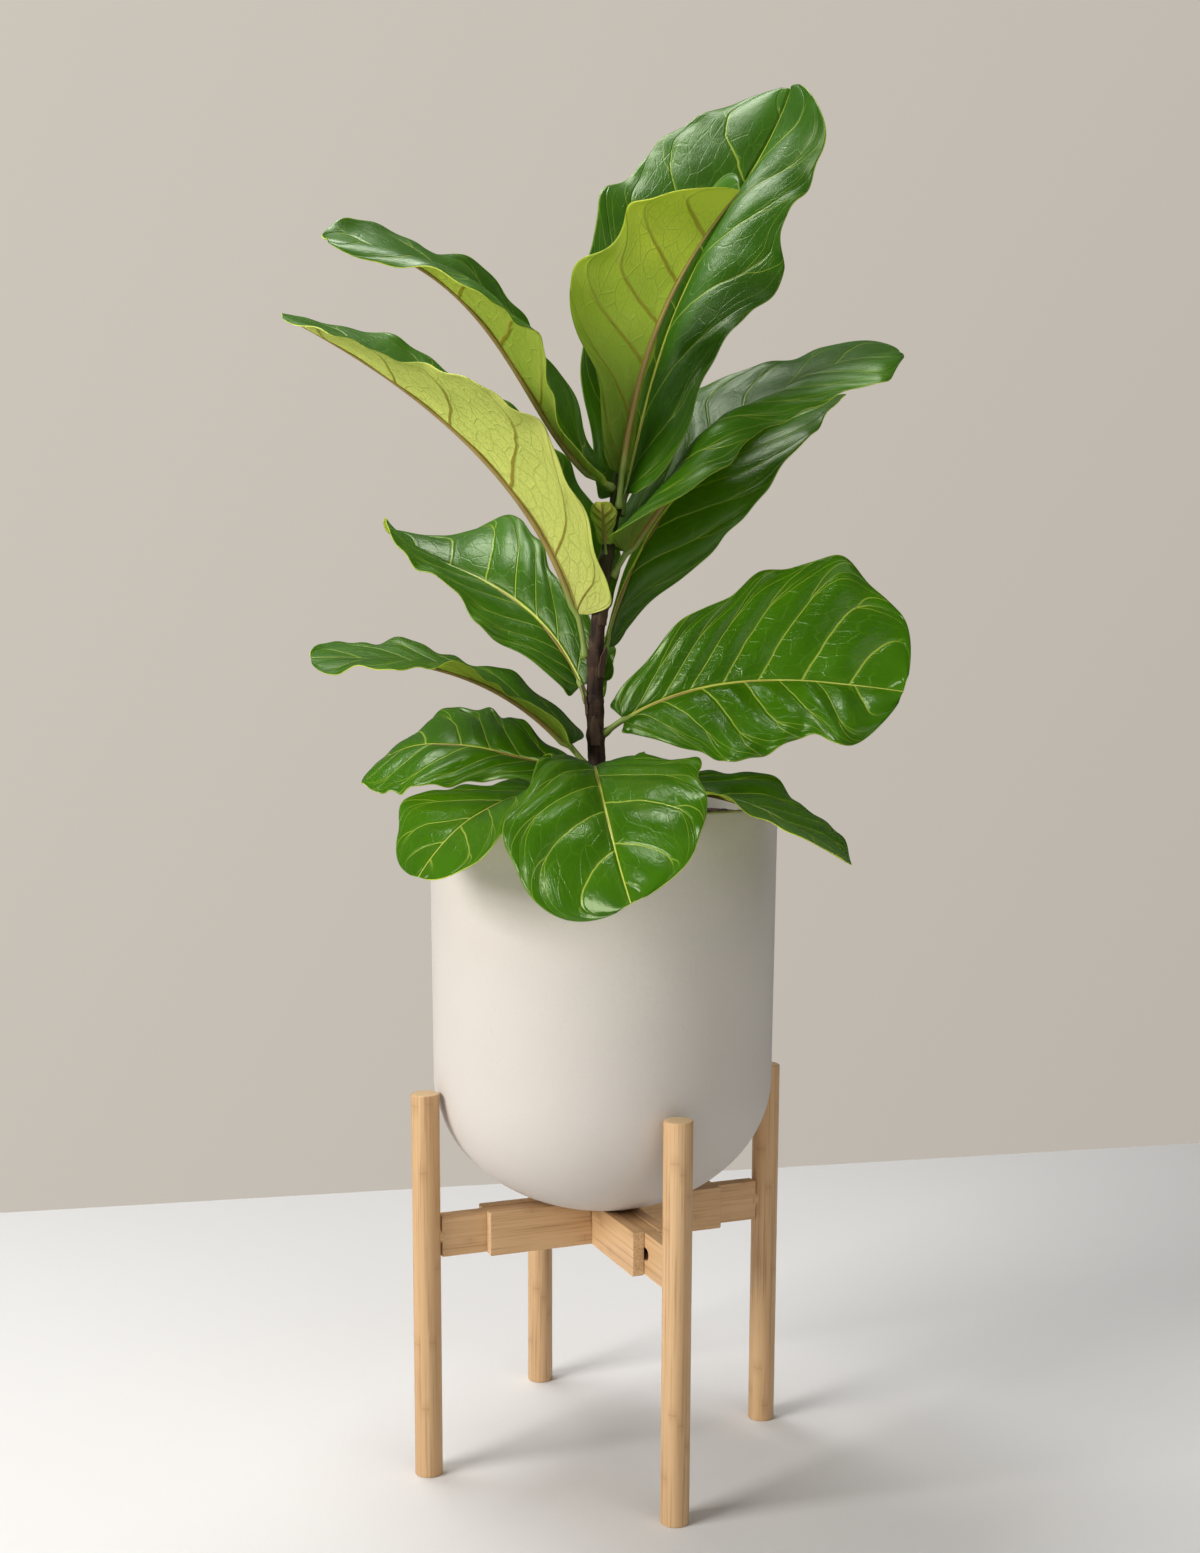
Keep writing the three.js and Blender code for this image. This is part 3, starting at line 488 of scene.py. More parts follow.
# a leaf's faces lie half its thickness above and below its middle surface, along the surface's normals
def addLeaf(leaf, materials):
    spine = leafSpine(leaf)
    small = leaf["length"] < blade["smallLength"]
    rows = blade["smallRows"] if small else blade["rows"]
    half = blade["smallHalfColumns"] if small else blade["halfColumns"]
    even = np.linspace(0, 1, rows)
    along = 0.004 + 0.9925 * (even + 0.5 * (1 - np.cos(np.pi * even))) / 2
    spread = np.linspace(0, 1, half + 1)[1:] ** 1.18
    outward = np.concatenate([-spread[::-1], [0.0], spread])
    t, v = np.meshgrid(along, outward, indexing="ij")
    surface, acrossLength = bladeSurface(leaf, spine, t, v)
    phase = veinPhase(leaf, t, v)
    pitch = leaf["length"] / leaf["veins"] * blade["veinPitch"]
    normal = np.cross(np.gradient(surface, axis=1), np.gradient(surface, axis=0))
    normal /= np.maximum(np.linalg.norm(normal, axis=-1, keepdims=True), 1e-9)
    size = min(leaf["length"] / blade["reliefLength"], 1)
    relief = bladeRelief(leaf, size, t, v, phase, pitch, acrossLength)
    top = surface + (relief + blade["thickness"] / 2)[..., None] * normal
    under = surface + (relief - blade["thickness"] / 2)[..., None] * normal
    ring = np.concatenate([top, under[:, ::-1]], 1)
    columns = ring.shape[1]
    quads = gridQuads(rows, columns, wrap=True)
    onTop = np.tile(np.arange(columns) < top.shape[1] - 1, rows - 1)
    rib, ribFaces, ribAlong = leafRib(leaf, spine, size)
    points = np.concatenate([ring.reshape(-1, 3), rib]) * mm + soilMiddle

    # a value for every point: the blade's on both faces, then the rib's
    def everyPoint(values, onRib=0.0):
        return np.concatenate([np.concatenate([values, values[:, ::-1]], 1).ravel(), onRib + 0 * ribAlong])

    values = {"veinPhase": everyPoint(phase), "acrossLength": everyPoint(acrossLength),
              "outward": everyPoint(v), "along": everyPoint(t, ribAlong)}
    # one value for the whole leaf each; the light share is painted sunlight on the underside
    whole = {"veinPitch": pitch, "leafTone": leaf["tone"], "paintedSunlitShare": leaf.get("light", 0),
             "leafShine": leaf.get("shine", 0.0)}
    for key, value in whole.items():
        values[key] = np.full(len(points), value)
    underFaces = np.concatenate([quads[~onTop], capQuads(rows, columns)])
    faceSets = [quads[onTop], underFaces, ribFaces + rows * columns]
    piece = addPiece(leaf["name"] + "_blade", points, faceSets, materials, planterBody, values)
    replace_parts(piece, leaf["name"])


# masks shared by both faces of a leaf: side veins with their forks, the midrib, and the fine net
def leafMasks(nodes, ribWidth, veinWidth):
    phase, out = nodes.value("veinPhase"), nodes.math("ABSOLUTE", nodes.value("outward"))
    pitch, along = nodes.value("veinPitch"), nodes.value("along")
    acrossLength = nodes.value("acrossLength")
    wobble = nodes.times(nodes.math("SUBTRACT", nodes.noise(38.0, 2.0), 0.5), 0.14)
    phase = nodes.plus(phase, wobble)
    offVein = nodes.fromWhole(phase)
    distance = nodes.times(offVein, pitch)
    thin = nodes.ramp(out, 0.0, 1.0, veinWidth, veinWidth * 0.45, soft=False)
    vein = nodes.ramp(nodes.math("DIVIDE", distance, thin), 0.6, 1.3, 1.0, 0.0)
    vein = nodes.times(vein, nodes.ramp(out, 0.72, 0.92, 1.0, 0.12))
    opening = nodes.math("POWER", nodes.ramp(out, 0.64, 1.0, soft=False), 1.25)
    fork = nodes.math("ABSOLUTE", nodes.math("SUBTRACT", offVein, nodes.times(opening, 0.5)))
    fork = nodes.ramp(nodes.times(fork, pitch), veinWidth * 0.25, veinWidth * 0.85, 0.75, 0.0)
    fork = nodes.times(fork, nodes.ramp(out, 0.62, 0.72))
    ended = nodes.ramp(along, 0.90, 0.965, 1.0, 0.0)
    veins = nodes.math("MAXIMUM", nodes.times(vein, ended), nodes.times(fork, ended))
    fromRib = nodes.math("ABSOLUTE", acrossLength)
    ribHalf = nodes.ramp(along, 0.0, 1.0, ribWidth, ribWidth * 0.3, soft=False)
    rib = nodes.ramp(nodes.math("DIVIDE", fromRib, ribHalf), 0.7, 1.25, 1.0, 0.0)
    place = nodes.add("ShaderNodeCombineXYZ")
    nodes.feed(place.inputs[0], nodes.math("DIVIDE", acrossLength, 11.0))
    nodes.feed(place.inputs[1], nodes.times(phase, nodes.math("DIVIDE", pitch, 16.0)))
    inner = nodes.times(nodes.ramp(along, 0.86, 0.96, 1.0, 0.0), nodes.ramp(out, 0.80, 0.97, 1.0, 0.0))
    nets = []
    for scale, randomness, start, end in ((1.0, 0.85, 0.012, 0.060), (3.4, 1.0, 0.02, 0.12)):
        net = nodes.add("ShaderNodeTexVoronoi", feature="DISTANCE_TO_EDGE", voronoi_dimensions="2D")
        nodes.feed(net.inputs["Vector"], place.outputs[0])
        net.inputs["Scale"].default_value = scale
        net.inputs["Randomness"].default_value = randomness
        nets.append(nodes.times(nodes.ramp(net.outputs["Distance"], start, end, 1.0, 0.0), inner))
    return dict(veins=veins, rib=rib, fine=nets[0], finest=nets[1], distance=distance, out=out, along=along,
                fromRib=fromRib)


# light that comes through the blade is added by a share of a translucent shader
def throughLight(nodes, share, colour):
    through = nodes.add("ShaderNodeBsdfTranslucent")
    nodes.feed(through.inputs["Color"], colour)
    blend = nodes.add("ShaderNodeMixShader")
    blend.inputs[0].default_value = share
    nodes.feed(blend.inputs[1], nodes.shader.outputs[0])
    nodes.feed(blend.inputs[2], through.outputs[0])
    nodes.feed(nodes.tree.nodes["Material Output"].inputs["Surface"], blend.outputs[0])


upperLook = dict(
    dark=rgb(0.009, 0.047, 0.0005), light=rgb(0.055, 0.182, 0.0014), pale=rgb(0.14, 0.29, 0.012),
    vein=rgb(0.38, 0.50, 0.058), rib=rgb(0.58, 0.64, 0.10), margin=rgb(0.30, 0.42, 0.05),
    ribWidth=1.5, veinWidth=0.72, patches=0.4, halo=0.11, ribHalo=0.13, fine=0.17, finest=0.06,
    base=0.55, veins=0.85, marginShare=0.6, roughness=0.37, glossy=0.22, specular=0.48,
    tint=rgb(0.86, 1.0, 0.62), relief=0.0007, through=0.22, throughColour=rgb(0.30, 0.66, 0.006),
)


# the upper face: green between two tones in soft patches, with painted shade darkening it at the base near the
# stem, paler beside the veins
def upperMaterial():
    look = upperLook
    nodes = Nodes("leafUpperFace")
    masks = leafMasks(nodes, look["ribWidth"], look["veinWidth"])
    patches = nodes.ramp(nodes.noise(14.0, 4.0), 0.3, 0.7)
    share = nodes.plus(nodes.times(patches, look["patches"]), nodes.value("leafTone"), clamp=True)
    colour = nodes.mix(share, look["dark"], look["light"])
    halo = nodes.ramp(masks["distance"], 0.5, 5.0, look["halo"], 0.0)
    ribHalo = nodes.ramp(masks["fromRib"], 1.0, 8.0, look["ribHalo"], 0.0)
    colour = nodes.mix(nodes.math("MAXIMUM", halo, ribHalo), colour, look["pale"])
    for net in ("fine", "finest"):
        colour = nodes.mix(nodes.times(masks[net], look[net]), colour, look["pale"])
    # painted shade: the blade is darkened at its base near the stem, most towards the midrib
    base = nodes.ramp(masks["along"], 0.0, 0.22, look["base"], 0.0)
    base = nodes.times(base, nodes.ramp(masks["out"], 0.3, 1.0, 1.0, 0.3))
    colour = nodes.mix(base, colour, look["dark"])
    colour = nodes.mix(nodes.times(masks["veins"], look["veins"]), colour, look["vein"])
    colour = nodes.mix(masks["rib"], colour, look["rib"])
    colour = nodes.mix(nodes.ramp(masks["out"], 0.986, 0.996, 0.0, look["marginShare"]), colour, look["margin"])
    roughness = nodes.ramp(nodes.value("leafShine"), 0.0, 1.0, look["roughness"], look["glossy"])
    nodes.surface(colour, roughness, look["specular"])
    nodes.shader.inputs["Specular Tint"].default_value = look["tint"]
    height = nodes.ramp(masks["distance"], 0.0, 2.6)
    height = nodes.plus(height, nodes.times(masks["fine"], -0.22))
    height = nodes.plus(height, nodes.times(masks["finest"], -0.08))
    height = nodes.plus(height, nodes.times(nodes.noise(90.0, 3.0), 0.9))
    height = nodes.times(height, nodes.ramp(masks["fromRib"], 0.5, 3.0))
    nodes.bump(height, look["relief"], 0.8)
    throughLight(nodes, look["through"], look["throughColour"])
    return nodes.owner


underLook = dict(
    dark=rgb(0.34, 0.48, 0.022), light=rgb(0.64, 0.74, 0.085), vein=rgb(0.64, 0.66, 0.13),
    oldVein=rgb(0.36, 0.17, 0.020), rib=rgb(0.38, 0.27, 0.06), paintedSunlight=rgb(0.99, 1.0, 0.25),
    bright=rgb(0.95, 1.0, 0.085), net=rgb(0.24, 0.38, 0.02), shadow=rgb(0.10, 0.19, 0.012),
    ribWidth=2.2, veinWidth=1.3, patches=0.4, tone=0.7, paintedRibShade=0.45, base=0.82, tip=0.9,
    fine=0.26, finest=0.28, veins=0.9, roughness=0.55, relief=0.0012,
    through=0.42, throughColour=rgb(0.88, 0.96, 0.09),
)


# the underside: lime, with painted shade beside the midrib and at the base, painted light shining through
# towards the tip and painted sunlight on some leaves, with raised veins
def underMaterial():
    look = underLook
    nodes = Nodes("leafUnderside")
    masks = leafMasks(nodes, look["ribWidth"], look["veinWidth"])
    patches = nodes.times(nodes.ramp(nodes.noise(11.0, 3.0), 0.25, 0.75), look["patches"])
    share = nodes.plus(patches, nodes.times(nodes.value("leafTone"), look["tone"]), clamp=True)
    colour = nodes.mix(share, look["dark"], look["light"])
    # painted shade: darker beside the midrib
    colour = nodes.mix(nodes.ramp(masks["fromRib"], 2.0, 26.0, look["paintedRibShade"], 0.0), colour, look["dark"])
    # painted shade: darker towards the base of the blade
    colour = nodes.mix(nodes.ramp(masks["along"], 0.05, 0.55, look["base"], 0.0), colour, look["shadow"])
    # painted light: brighter in patches towards the tip, as light shining through the blade
    paintedTipLightShare = nodes.ramp(masks["along"], 0.42, 0.85, 0.0, look["tip"])
    paintedTipLightPatches = nodes.ramp(nodes.noise(9.0, 2.0), 0.38, 0.62, 0.35, 1.0)
    colour = nodes.mix(nodes.times(paintedTipLightShare, paintedTipLightPatches), colour, look["bright"])
    # painted sunlight: leaves given a light share are painted lit on the underside
    colour = nodes.mix(nodes.value("paintedSunlitShare"), colour, look["paintedSunlight"])
    colour = nodes.mix(nodes.times(masks["finest"], look["finest"]), colour, look["net"])
    colour = nodes.mix(nodes.times(masks["fine"], look["fine"]), colour, look["vein"])
    veinColour = nodes.mix(nodes.ramp(masks["out"], 0.45, 0.98), look["oldVein"], look["vein"])
    colour = nodes.mix(nodes.times(masks["veins"], look["veins"]), colour, veinColour)
    nodes.surface(nodes.mix(masks["rib"], colour, look["rib"]), look["roughness"])
    height = nodes.ramp(masks["distance"], 0.2, 2.4, 1.0, 0.0)
    height = nodes.plus(height, nodes.times(masks["fine"], 0.35))
    height = nodes.plus(height, nodes.times(masks["finest"], 0.12))
    nodes.bump(height, look["relief"], 0.9)
    throughLight(nodes, look["through"], look["throughColour"])
    return nodes.owner


# stalks are green near the stem and turn woody along the midrib
def stalkMaterial():
    nodes = Nodes("leafStalk")
    streaks = nodes.noise(60.0, 3.0)
    young = nodes.mix(streaks, rgb(0.16, 0.24, 0.035), rgb(0.27, 0.35, 0.07))
    woody = nodes.mix(streaks, rgb(0.20, 0.13, 0.03), rgb(0.37, 0.27, 0.06))
    nodes.surface(nodes.mix(nodes.ramp(nodes.value("along"), 0.0, 0.12), young, woody), 0.5)
    return nodes.owner


leafMaterials = [upperMaterial(), underMaterial(), stalkMaterial()]
for leaf in leafShapes:
    addLeaf(leaf, leafMaterials)
print("leaves made:", len(leafShapes))


# rings round the stem: ridges of bark are sine waves round and up it, and it swells a little at each stalk
def addStem(material):
    rows, sides = stem["rows"], stem["sides"]
    heights = np.linspace(stem["foot"], stem["heights"][-1], rows)
    centre = stemMiddle(heights)
    angle = np.linspace(0, 2 * np.pi, sides, endpoint=False)
    h, a = np.meshgrid(heights, angle, indexing="ij")
    radius = stemRadius(h)
    for leaf in leafShapes:
        radius = radius + stem["swelling"] * np.exp(-((h - leaf["node"] + 3) / 4.0) ** 2)
        radius = radius - stem["scar"] * np.exp(-((h - leaf["node"] - 3.5) / 1.2) ** 2)
    ridges = (np.sin(7 * a + 0.05 * h) + 0.7 * np.sin(12 * a - 0.09 * h + 1.3) + 0.6 * np.sin(19 * a + 0.21 * h)
              + 0.8 * np.sin(0.55 * h + 2 * a) * np.sin(0.17 * h))
    radius = radius + stem["ridge"] * ridges - stem["sunk"]
    points = centre[:, None] + np.stack([radius * np.cos(a), radius * np.sin(a), 0 * h], -1)
    tip = []
    for share, lift in ((0.8, 0.3), (0.5, 0.65), (0.2, 1.0)):
        ring = centre[-1] + (points[-1] - centre[-1]) * share
        tip.append(ring + np.array([0, 0, stem["budLength"] * lift]))
    points = np.concatenate([points, np.stack(tip)])
    rows += len(tip)
    faces = np.concatenate([gridQuads(rows, sides, wrap=True), capQuads(rows, sides)[:, ::-1]])
    points = points.reshape(-1, 3) * mm + soilMiddle
    piece = addPiece("stem_bark", points, [faces], [material], planterBody)
    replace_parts(piece, "stem")


# dark bark in streaks up the stem, with paler patches, which turns green towards the top
def barkMaterial():
    nodes = Nodes("stemBark")
    green = nodes.ramp(nodes.place()[2], soilTop + 0.15, soilTop + 0.29, 0.0, 0.75)
    streaks = nodes.ramp(nodes.noise(220.0, 4.0, (1, 1, 0.16)), 0.3, 0.7)
    bark = nodes.mix(streaks, rgb(0.012, 0.006, 0.004), rgb(0.062, 0.032, 0.018))
    patches = nodes.ramp(nodes.noise(70.0, 3.0), 0.5, 0.72)
    bark = nodes.mix(nodes.times(patches, 0.6), bark, rgb(0.11, 0.068, 0.038))
    nodes.surface(nodes.mix(green, bark, rgb(0.045, 0.06, 0.010)), 0.8, 0.3)
    nodes.bump(nodes.noise(420.0, 4.0, (1, 1, 0.25)), 0.0007, 0.9)
    return nodes.owner


sheathShapes = [
    dict(name="bud_sheath_1", height=118, azimuth=-60),
    dict(name="bud_sheath_2", height=86, azimuth=170),
    dict(name="bud_sheath_3", height=162, azimuth=-75),
    dict(name="bud_sheath_4", height=60, azimuth=-115),
]
sheathSize = dict(length=26, width=4.6, thickness=0.5, gap=0.3, lean=4.0, cup=0.22, wave=0.35)


# a thin pointed scale: its half width is the root of a sine along it, its sides cup round the stem, and it
# leans out
def addSheath(shape, material):
    share = np.linspace(0, 1, 26)
    column = np.linspace(-1, 1, 11)
    azimuth = math.radians(shape["azimuth"])
    out = np.array([math.cos(azimuth), math.sin(azimuth), 0])
    sideways = np.array([-out[1], out[0], 0])
    s, c = np.meshgrid(share, column, indexing="ij")
    width = sheathSize["width"] * np.sqrt(np.maximum(np.sin(np.pi * (0.28 + 0.715 * s)), 0.0))
    width = width * (1 + 0.06 * np.sin(23 * s + c))
    depth = stemRadius(shape["height"]) + sheathSize["gap"] + sheathSize["lean"] * s ** 2
    depth = depth - sheathSize["cup"] * width * c ** 2 + sheathSize["wave"] * np.sin(9 * s + 2.0 * c) * s
    centre = stemMiddle(shape["height"] + sheathSize["length"] * s)
    inner = centre + (c * width)[..., None] * sideways + depth[..., None] * out
    outer = inner + sheathSize["thickness"] * out
    ring = np.concatenate([outer, inner[:, ::-1]], 1)
    rows, columns = ring.shape[:2]
    faces = np.concatenate([gridQuads(rows, columns, wrap=True), capQuads(rows, columns)])
    points = ring.reshape(-1, 3) * mm + soilMiddle
    piece = addPiece(shape["name"] + "_scale", points, [faces], [material], planterBody)
    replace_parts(piece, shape["name"])


# dry brown scale with streaks along it
def sheathMaterial():
    nodes = Nodes("paperySheath")
    streaks = nodes.noise(260.0, 3.0, (1, 1, 0.2))
    nodes.surface(nodes.mix(streaks, rgb(0.035, 0.015, 0.009), rgb(0.13, 0.07, 0.035)), 0.7)
    nodes.bump(streaks, 0.0004, 0.8)
    return nodes.owner


addStem(barkMaterial())
dryScale = sheathMaterial()
for shape in sheathShapes:
    addSheath(shape, dryScale)
print("stem and sheaths made")


pot = dict(wall=8.0, taper=1.5, bowlHeight=112.0, footRadius=48.0, rimRound=2.4, sides=224, axisHole=0.5)


# a profile turned round a middle, the pot's unless another is given: each point makes a ring, and the first and
# last rings are closed
def turned(name, profile, sides, material, relief=None, body=planterBody, centre=middle):
    angle = np.linspace(0, 2 * np.pi, sides, endpoint=False)
    radius, height = np.asarray(profile).T[:, :, None]
    rings = np.stack([radius * np.cos(angle), radius * np.sin(angle), height + 0 * angle], -1)
    if relief is not None:
        rings[..., 2] += relief(rings[..., 0], rings[..., 1], rings[..., 2])
    rows = len(radius)
    faces = np.concatenate([gridQuads(rows, sides, wrap=True), capQuads(rows, sides)[:, ::-1]])
    return addPiece(name, rings.reshape(-1, 3) * mm + centre, [faces], [material], body)


# the pot's profile, outside and then inside: a flat foot, an arc for the round bottom, a straight wall and a
# round rim
def potProfile():
    radius = (potHigh.x - potLow.x) / 2 / mm
    floor, top = potLow.z / mm, potHigh.z / mm
    shoulder = radius - pot["taper"]
    start = math.asin(pot["footRadius"] / shoulder)
    reach = pot["bowlHeight"] / math.cos(start)
    angle = np.linspace(start, math.pi / 2, 40)
    bowl = np.stack([shoulder * np.sin(angle), floor + pot["bowlHeight"] - reach * np.cos(angle)], 1)
    wall = pot["wall"]
    lift = wall * (1 - (bowl[:, 1] - floor) / pot["bowlHeight"])
    inner = np.stack([bowl[:, 0] * (shoulder - wall) / shoulder, bowl[:, 1] + lift], 1)
    turn = np.linspace(0, math.pi / 2, 6)
    r = pot["rimRound"]
    outerLip = np.stack([radius - r + r * np.cos(turn), top - r + r * np.sin(turn)], 1)
    innerLip = np.stack([radius - wall + r - r * np.sin(turn), top - r + r * np.cos(turn)], 1)
    side = np.linspace(0.1, 0.95, 8)[:, None]
    outerSide = bowl[-1] * (1 - side) + outerLip[0] * side
    innerSide = innerLip[-1] * (1 - side) + inner[-1] * side
    foot = [[pot["axisHole"], floor], [pot["footRadius"] - 2, floor]]
    inside = [[pot["axisHole"], floor + wall]]
    return np.concatenate([foot, bowl, outerSide, outerLip, innerLip, innerSide, inner[::-1], inside])


# matt off-white, very slightly cloudy, with faint darker specks
def potMaterial():
    nodes = Nodes("matteGlaze")
    cloud = nodes.ramp(nodes.noise(5.0, 3.0), 0.3, 0.7)
    speck = nodes.ramp(nodes.noise(420.0, 2.0), 0.60, 0.72)
    colour = nodes.mix(cloud, rgb(0.605, 0.560, 0.515), rgb(0.635, 0.590, 0.545))
    nodes.surface(nodes.mix(nodes.times(speck, 0.18), colour, rgb(0.50, 0.46, 0.42)), 0.62, 0.35)
    nodes.bump(nodes.noise(260.0, 4.0), 0.00025, 0.5)
    return nodes.owner


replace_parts(turned("pot_shell", potProfile(), pot["sides"], potMaterial()), "planter_pot")
print("pot made")


soil = dict(depth=90.0, rings=110, sides=260, clods=0.9, sunk=1.4, wallReach=12,
            crumbs=1500, smallest=0.9, largest=3.6, stemReach=14, rimReach=20, buried=0.35,
            bedColours=(rgb(0.018, 0.009, 0.007), rgb(0.075, 0.038, 0.027), rgb(0.30, 0.24, 0.20)),
            crumbColours=(rgb(0.022, 0.011, 0.008), rgb(0.11, 0.06, 0.042), rgb(0.42, 0.36, 0.31)))
soilLow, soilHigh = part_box("potting_soil")
soilRadius = (soilHigh.x - soilLow.x) / 2 / mm


# the soil's top rises and falls in small lumps: several sine waves across each other, gone at the wall
def soilRelief(x, y, z):
    lumps = (np.sin(x / 7.1 + 1.2 * np.sin(y / 11.0)) * np.sin(y / 6.3 + 0.7) + 0.6 * np.sin(x / 3.1 + y / 4.7)
             + 0.5 * np.sin(y / 2.6 - x / 3.9))
    inner = np.clip((soilRadius - np.hypot(x, y)) / soil["wallReach"], 0, 1)
    level = np.where(z > soilTop / mm - 1.0, 1.0, 0.0)
    return (lumps * soil["clods"] - soil["sunk"]) * inner * level


# grains between two browns, with light specks
def soilMaterial(name, low, high, light):
    nodes = Nodes(name)
    grain = nodes.ramp(nodes.noise(330.0, 4.0), 0.3, 0.72)
    speck = nodes.ramp(nodes.noise(700.0, 2.0), 0.66, 0.74)
    nodes.surface(nodes.mix(nodes.times(speck, 0.8), nodes.mix(grain, low, high), light), 0.95)
    nodes.bump(nodes.noise(500.0, 4.0), 0.0009, 1.0)
    return nodes.owner


# the bed of soil is turned like the pot, and its top rings follow the relief
def addSoil():
    top, bottom = soilTop / mm, soilTop / mm - soil["depth"]
    radii = np.concatenate([np.linspace(0.5, soilRadius - 1, soil["rings"]), [soilRadius - 0.4]])
    upper = np.stack([radii[::-1], np.full(len(radii), top)], 1)
    upper[0, 1] -= 1.2
    profile = np.concatenate([[[0.5, bottom], [soilRadius - 0.6, bottom + 0.01]], upper])
    material = soilMaterial("pottingSoil", *soil["bedColours"])
    piece = turned("soil_bed", profile, soil["sides"], material, soilRelief)
    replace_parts(piece, "potting_soil")


# crumbs: one lumpy 20-faced ball, copied with its own size, turn and squash to random places on the soil
def addCrumbs():
    random = np.random.default_rng(7)
    count = soil["crumbs"]
    golden = (1 + 5 ** 0.5) / 2
    ball = np.array([[-1, golden, 0], [1, golden, 0], [-1, -golden, 0], [1, -golden, 0],
                     [0, -1, golden], [0, 1, golden], [0, -1, -golden], [0, 1, -golden],
                     [golden, 0, -1], [golden, 0, 1], [-golden, 0, -1], [-golden, 0, 1]])
    ball /= np.linalg.norm(ball[0])
    triangles = np.array([[0, 11, 5], [0, 5, 1], [0, 1, 7], [0, 7, 10], [0, 10, 11],
                          [1, 5, 9], [5, 11, 4], [11, 10, 2], [10, 7, 6], [7, 1, 8],
                          [3, 9, 4], [3, 4, 2], [3, 2, 6], [3, 6, 8], [3, 8, 9],
                          [4, 9, 5], [2, 4, 11], [6, 2, 10], [8, 6, 7], [9, 8, 1]])
    size = soil["smallest"] + (soil["largest"] - soil["smallest"]) * random.random(count) ** 2.2
    reach = soil["stemReach"] + (soilRadius - soil["rimReach"]) * np.sqrt(random.random(count))
    angle = 2 * np.pi * random.random(count)
    x, y = reach * np.cos(angle), reach * np.sin(angle)
    level = np.full(count, soilTop / mm)
    z = level + soilRelief(x, y, level) + size * soil["buried"]
    squash = 0.6 + 0.6 * random.random((count, 1, 3))
    lumps = 0.8 + 0.4 * random.random((count, 12, 1))
    turn, _ = np.linalg.qr(random.normal(size=(count, 3, 3)))
    turn *= np.sign(np.linalg.det(turn))[:, None, None]
    points = (ball * lumps * squash * size[:, None, None]) @ turn
    points += np.stack([x, y, z], 1)[:, None]
    faces = (triangles + 12 * np.arange(count)[:, None, None]).reshape(-1, 3)
    material = soilMaterial("soilCrumbs", *soil["crumbColours"])
    points = points.reshape(-1, 3) * mm + middle
    addPiece("soil_crumbs", points, [faces], [material], planterBody, smooth=False)


addSoil()
addCrumbs()
print("soil made")


bamboo = dict(
    light=rgb(0.700, 0.465, 0.250), mid=rgb(0.550, 0.325, 0.148), dark=rgb(0.330, 0.165, 0.065),
    endGrain=rgb(0.76, 0.56, 0.34), strip=0.0062, nodeSpacing=0.21, toneShare=0.34, bandShare=0.55,
    fibreShare=0.55, jointShare=0.16, lineShare=0.34, zoneShare=0.20,
    softEdge=0.9 * mm, legEdge=1.3, legSides=72,
)


# laminated bamboo: narrow strips that each have their own tone, fine fibres along them, and a node line now
# and then
def bambooMaterial(name, lengthAxis, crossAxis):
    nodes = Nodes(name)
    place = nodes.place()
    across = nodes.math("DIVIDE", place[crossAxis], bamboo["strip"])
    tone = nodes.add("ShaderNodeTexWhiteNoise", noise_dimensions="1D")
    nodes.feed(tone.inputs["W"], nodes.math("FLOOR", across))
    tone = tone.outputs["Value"]
    stretch = [1.0, 1.0, 1.0]
    stretch[lengthAxis] = 0.018
    fibres = nodes.noise(520.0, 4.0, tuple(stretch), 0.6)
    stretch[lengthAxis] = 0.045
    bands = nodes.ramp(nodes.noise(95.0, 3.0, tuple(stretch)), 0.25, 0.75, 0.0, bamboo["bandShare"])
    share = nodes.plus(nodes.times(tone, bamboo["toneShare"]), bands)
    colour = nodes.mix(share, bamboo["light"], bamboo["mid"])
    colour = nodes.mix(nodes.ramp(fibres, 0.48, 0.70, 0.0, bamboo["fibreShare"]), colour, bamboo["dark"])
    joint = nodes.math("ABSOLUTE", nodes.math("SUBTRACT", nodes.math("FRACT", across), 0.5))
    colour = nodes.mix(nodes.ramp(joint, 0.47, 0.5, 0.0, bamboo["jointShare"]), colour, bamboo["dark"])
    along = nodes.plus(nodes.math("DIVIDE", place[lengthAxis], bamboo["nodeSpacing"]), tone)
    along = nodes.plus(along, nodes.times(nodes.noise(60.0, 2.0), 0.012))
    fromNode = nodes.math("ABSOLUTE", nodes.math("SUBTRACT", nodes.math("FRACT", along), 0.5))
    line = nodes.ramp(fromNode, 0.002, 0.009, bamboo["lineShare"], 0.0)
    zone = nodes.ramp(fromNode, 0.0, 0.06, bamboo["zoneShare"], 0.0)
    colour = nodes.mix(nodes.math("MAXIMUM", line, zone), colour, bamboo["dark"])
    facing = nodes.add("ShaderNodeSeparateXYZ")
    nodes.feed(facing.inputs[0], nodes.add("ShaderNodeNewGeometry").outputs["Normal"])
    endFace = nodes.ramp(nodes.math("ABSOLUTE", facing.outputs[lengthAxis]), 0.86, 0.96)
    pores = nodes.ramp(nodes.noise(1100.0, 2.0), 0.42, 0.66)
    endGrain = nodes.mix(pores, bamboo["endGrain"], bamboo["mid"])
    nodes.surface(nodes.mix(endFace, colour, endGrain), 0.46, 0.4)
    nodes.bump(nodes.plus(fibres, nodes.times(line, -1.5)), 0.00022, 0.7)
    return nodes.owner


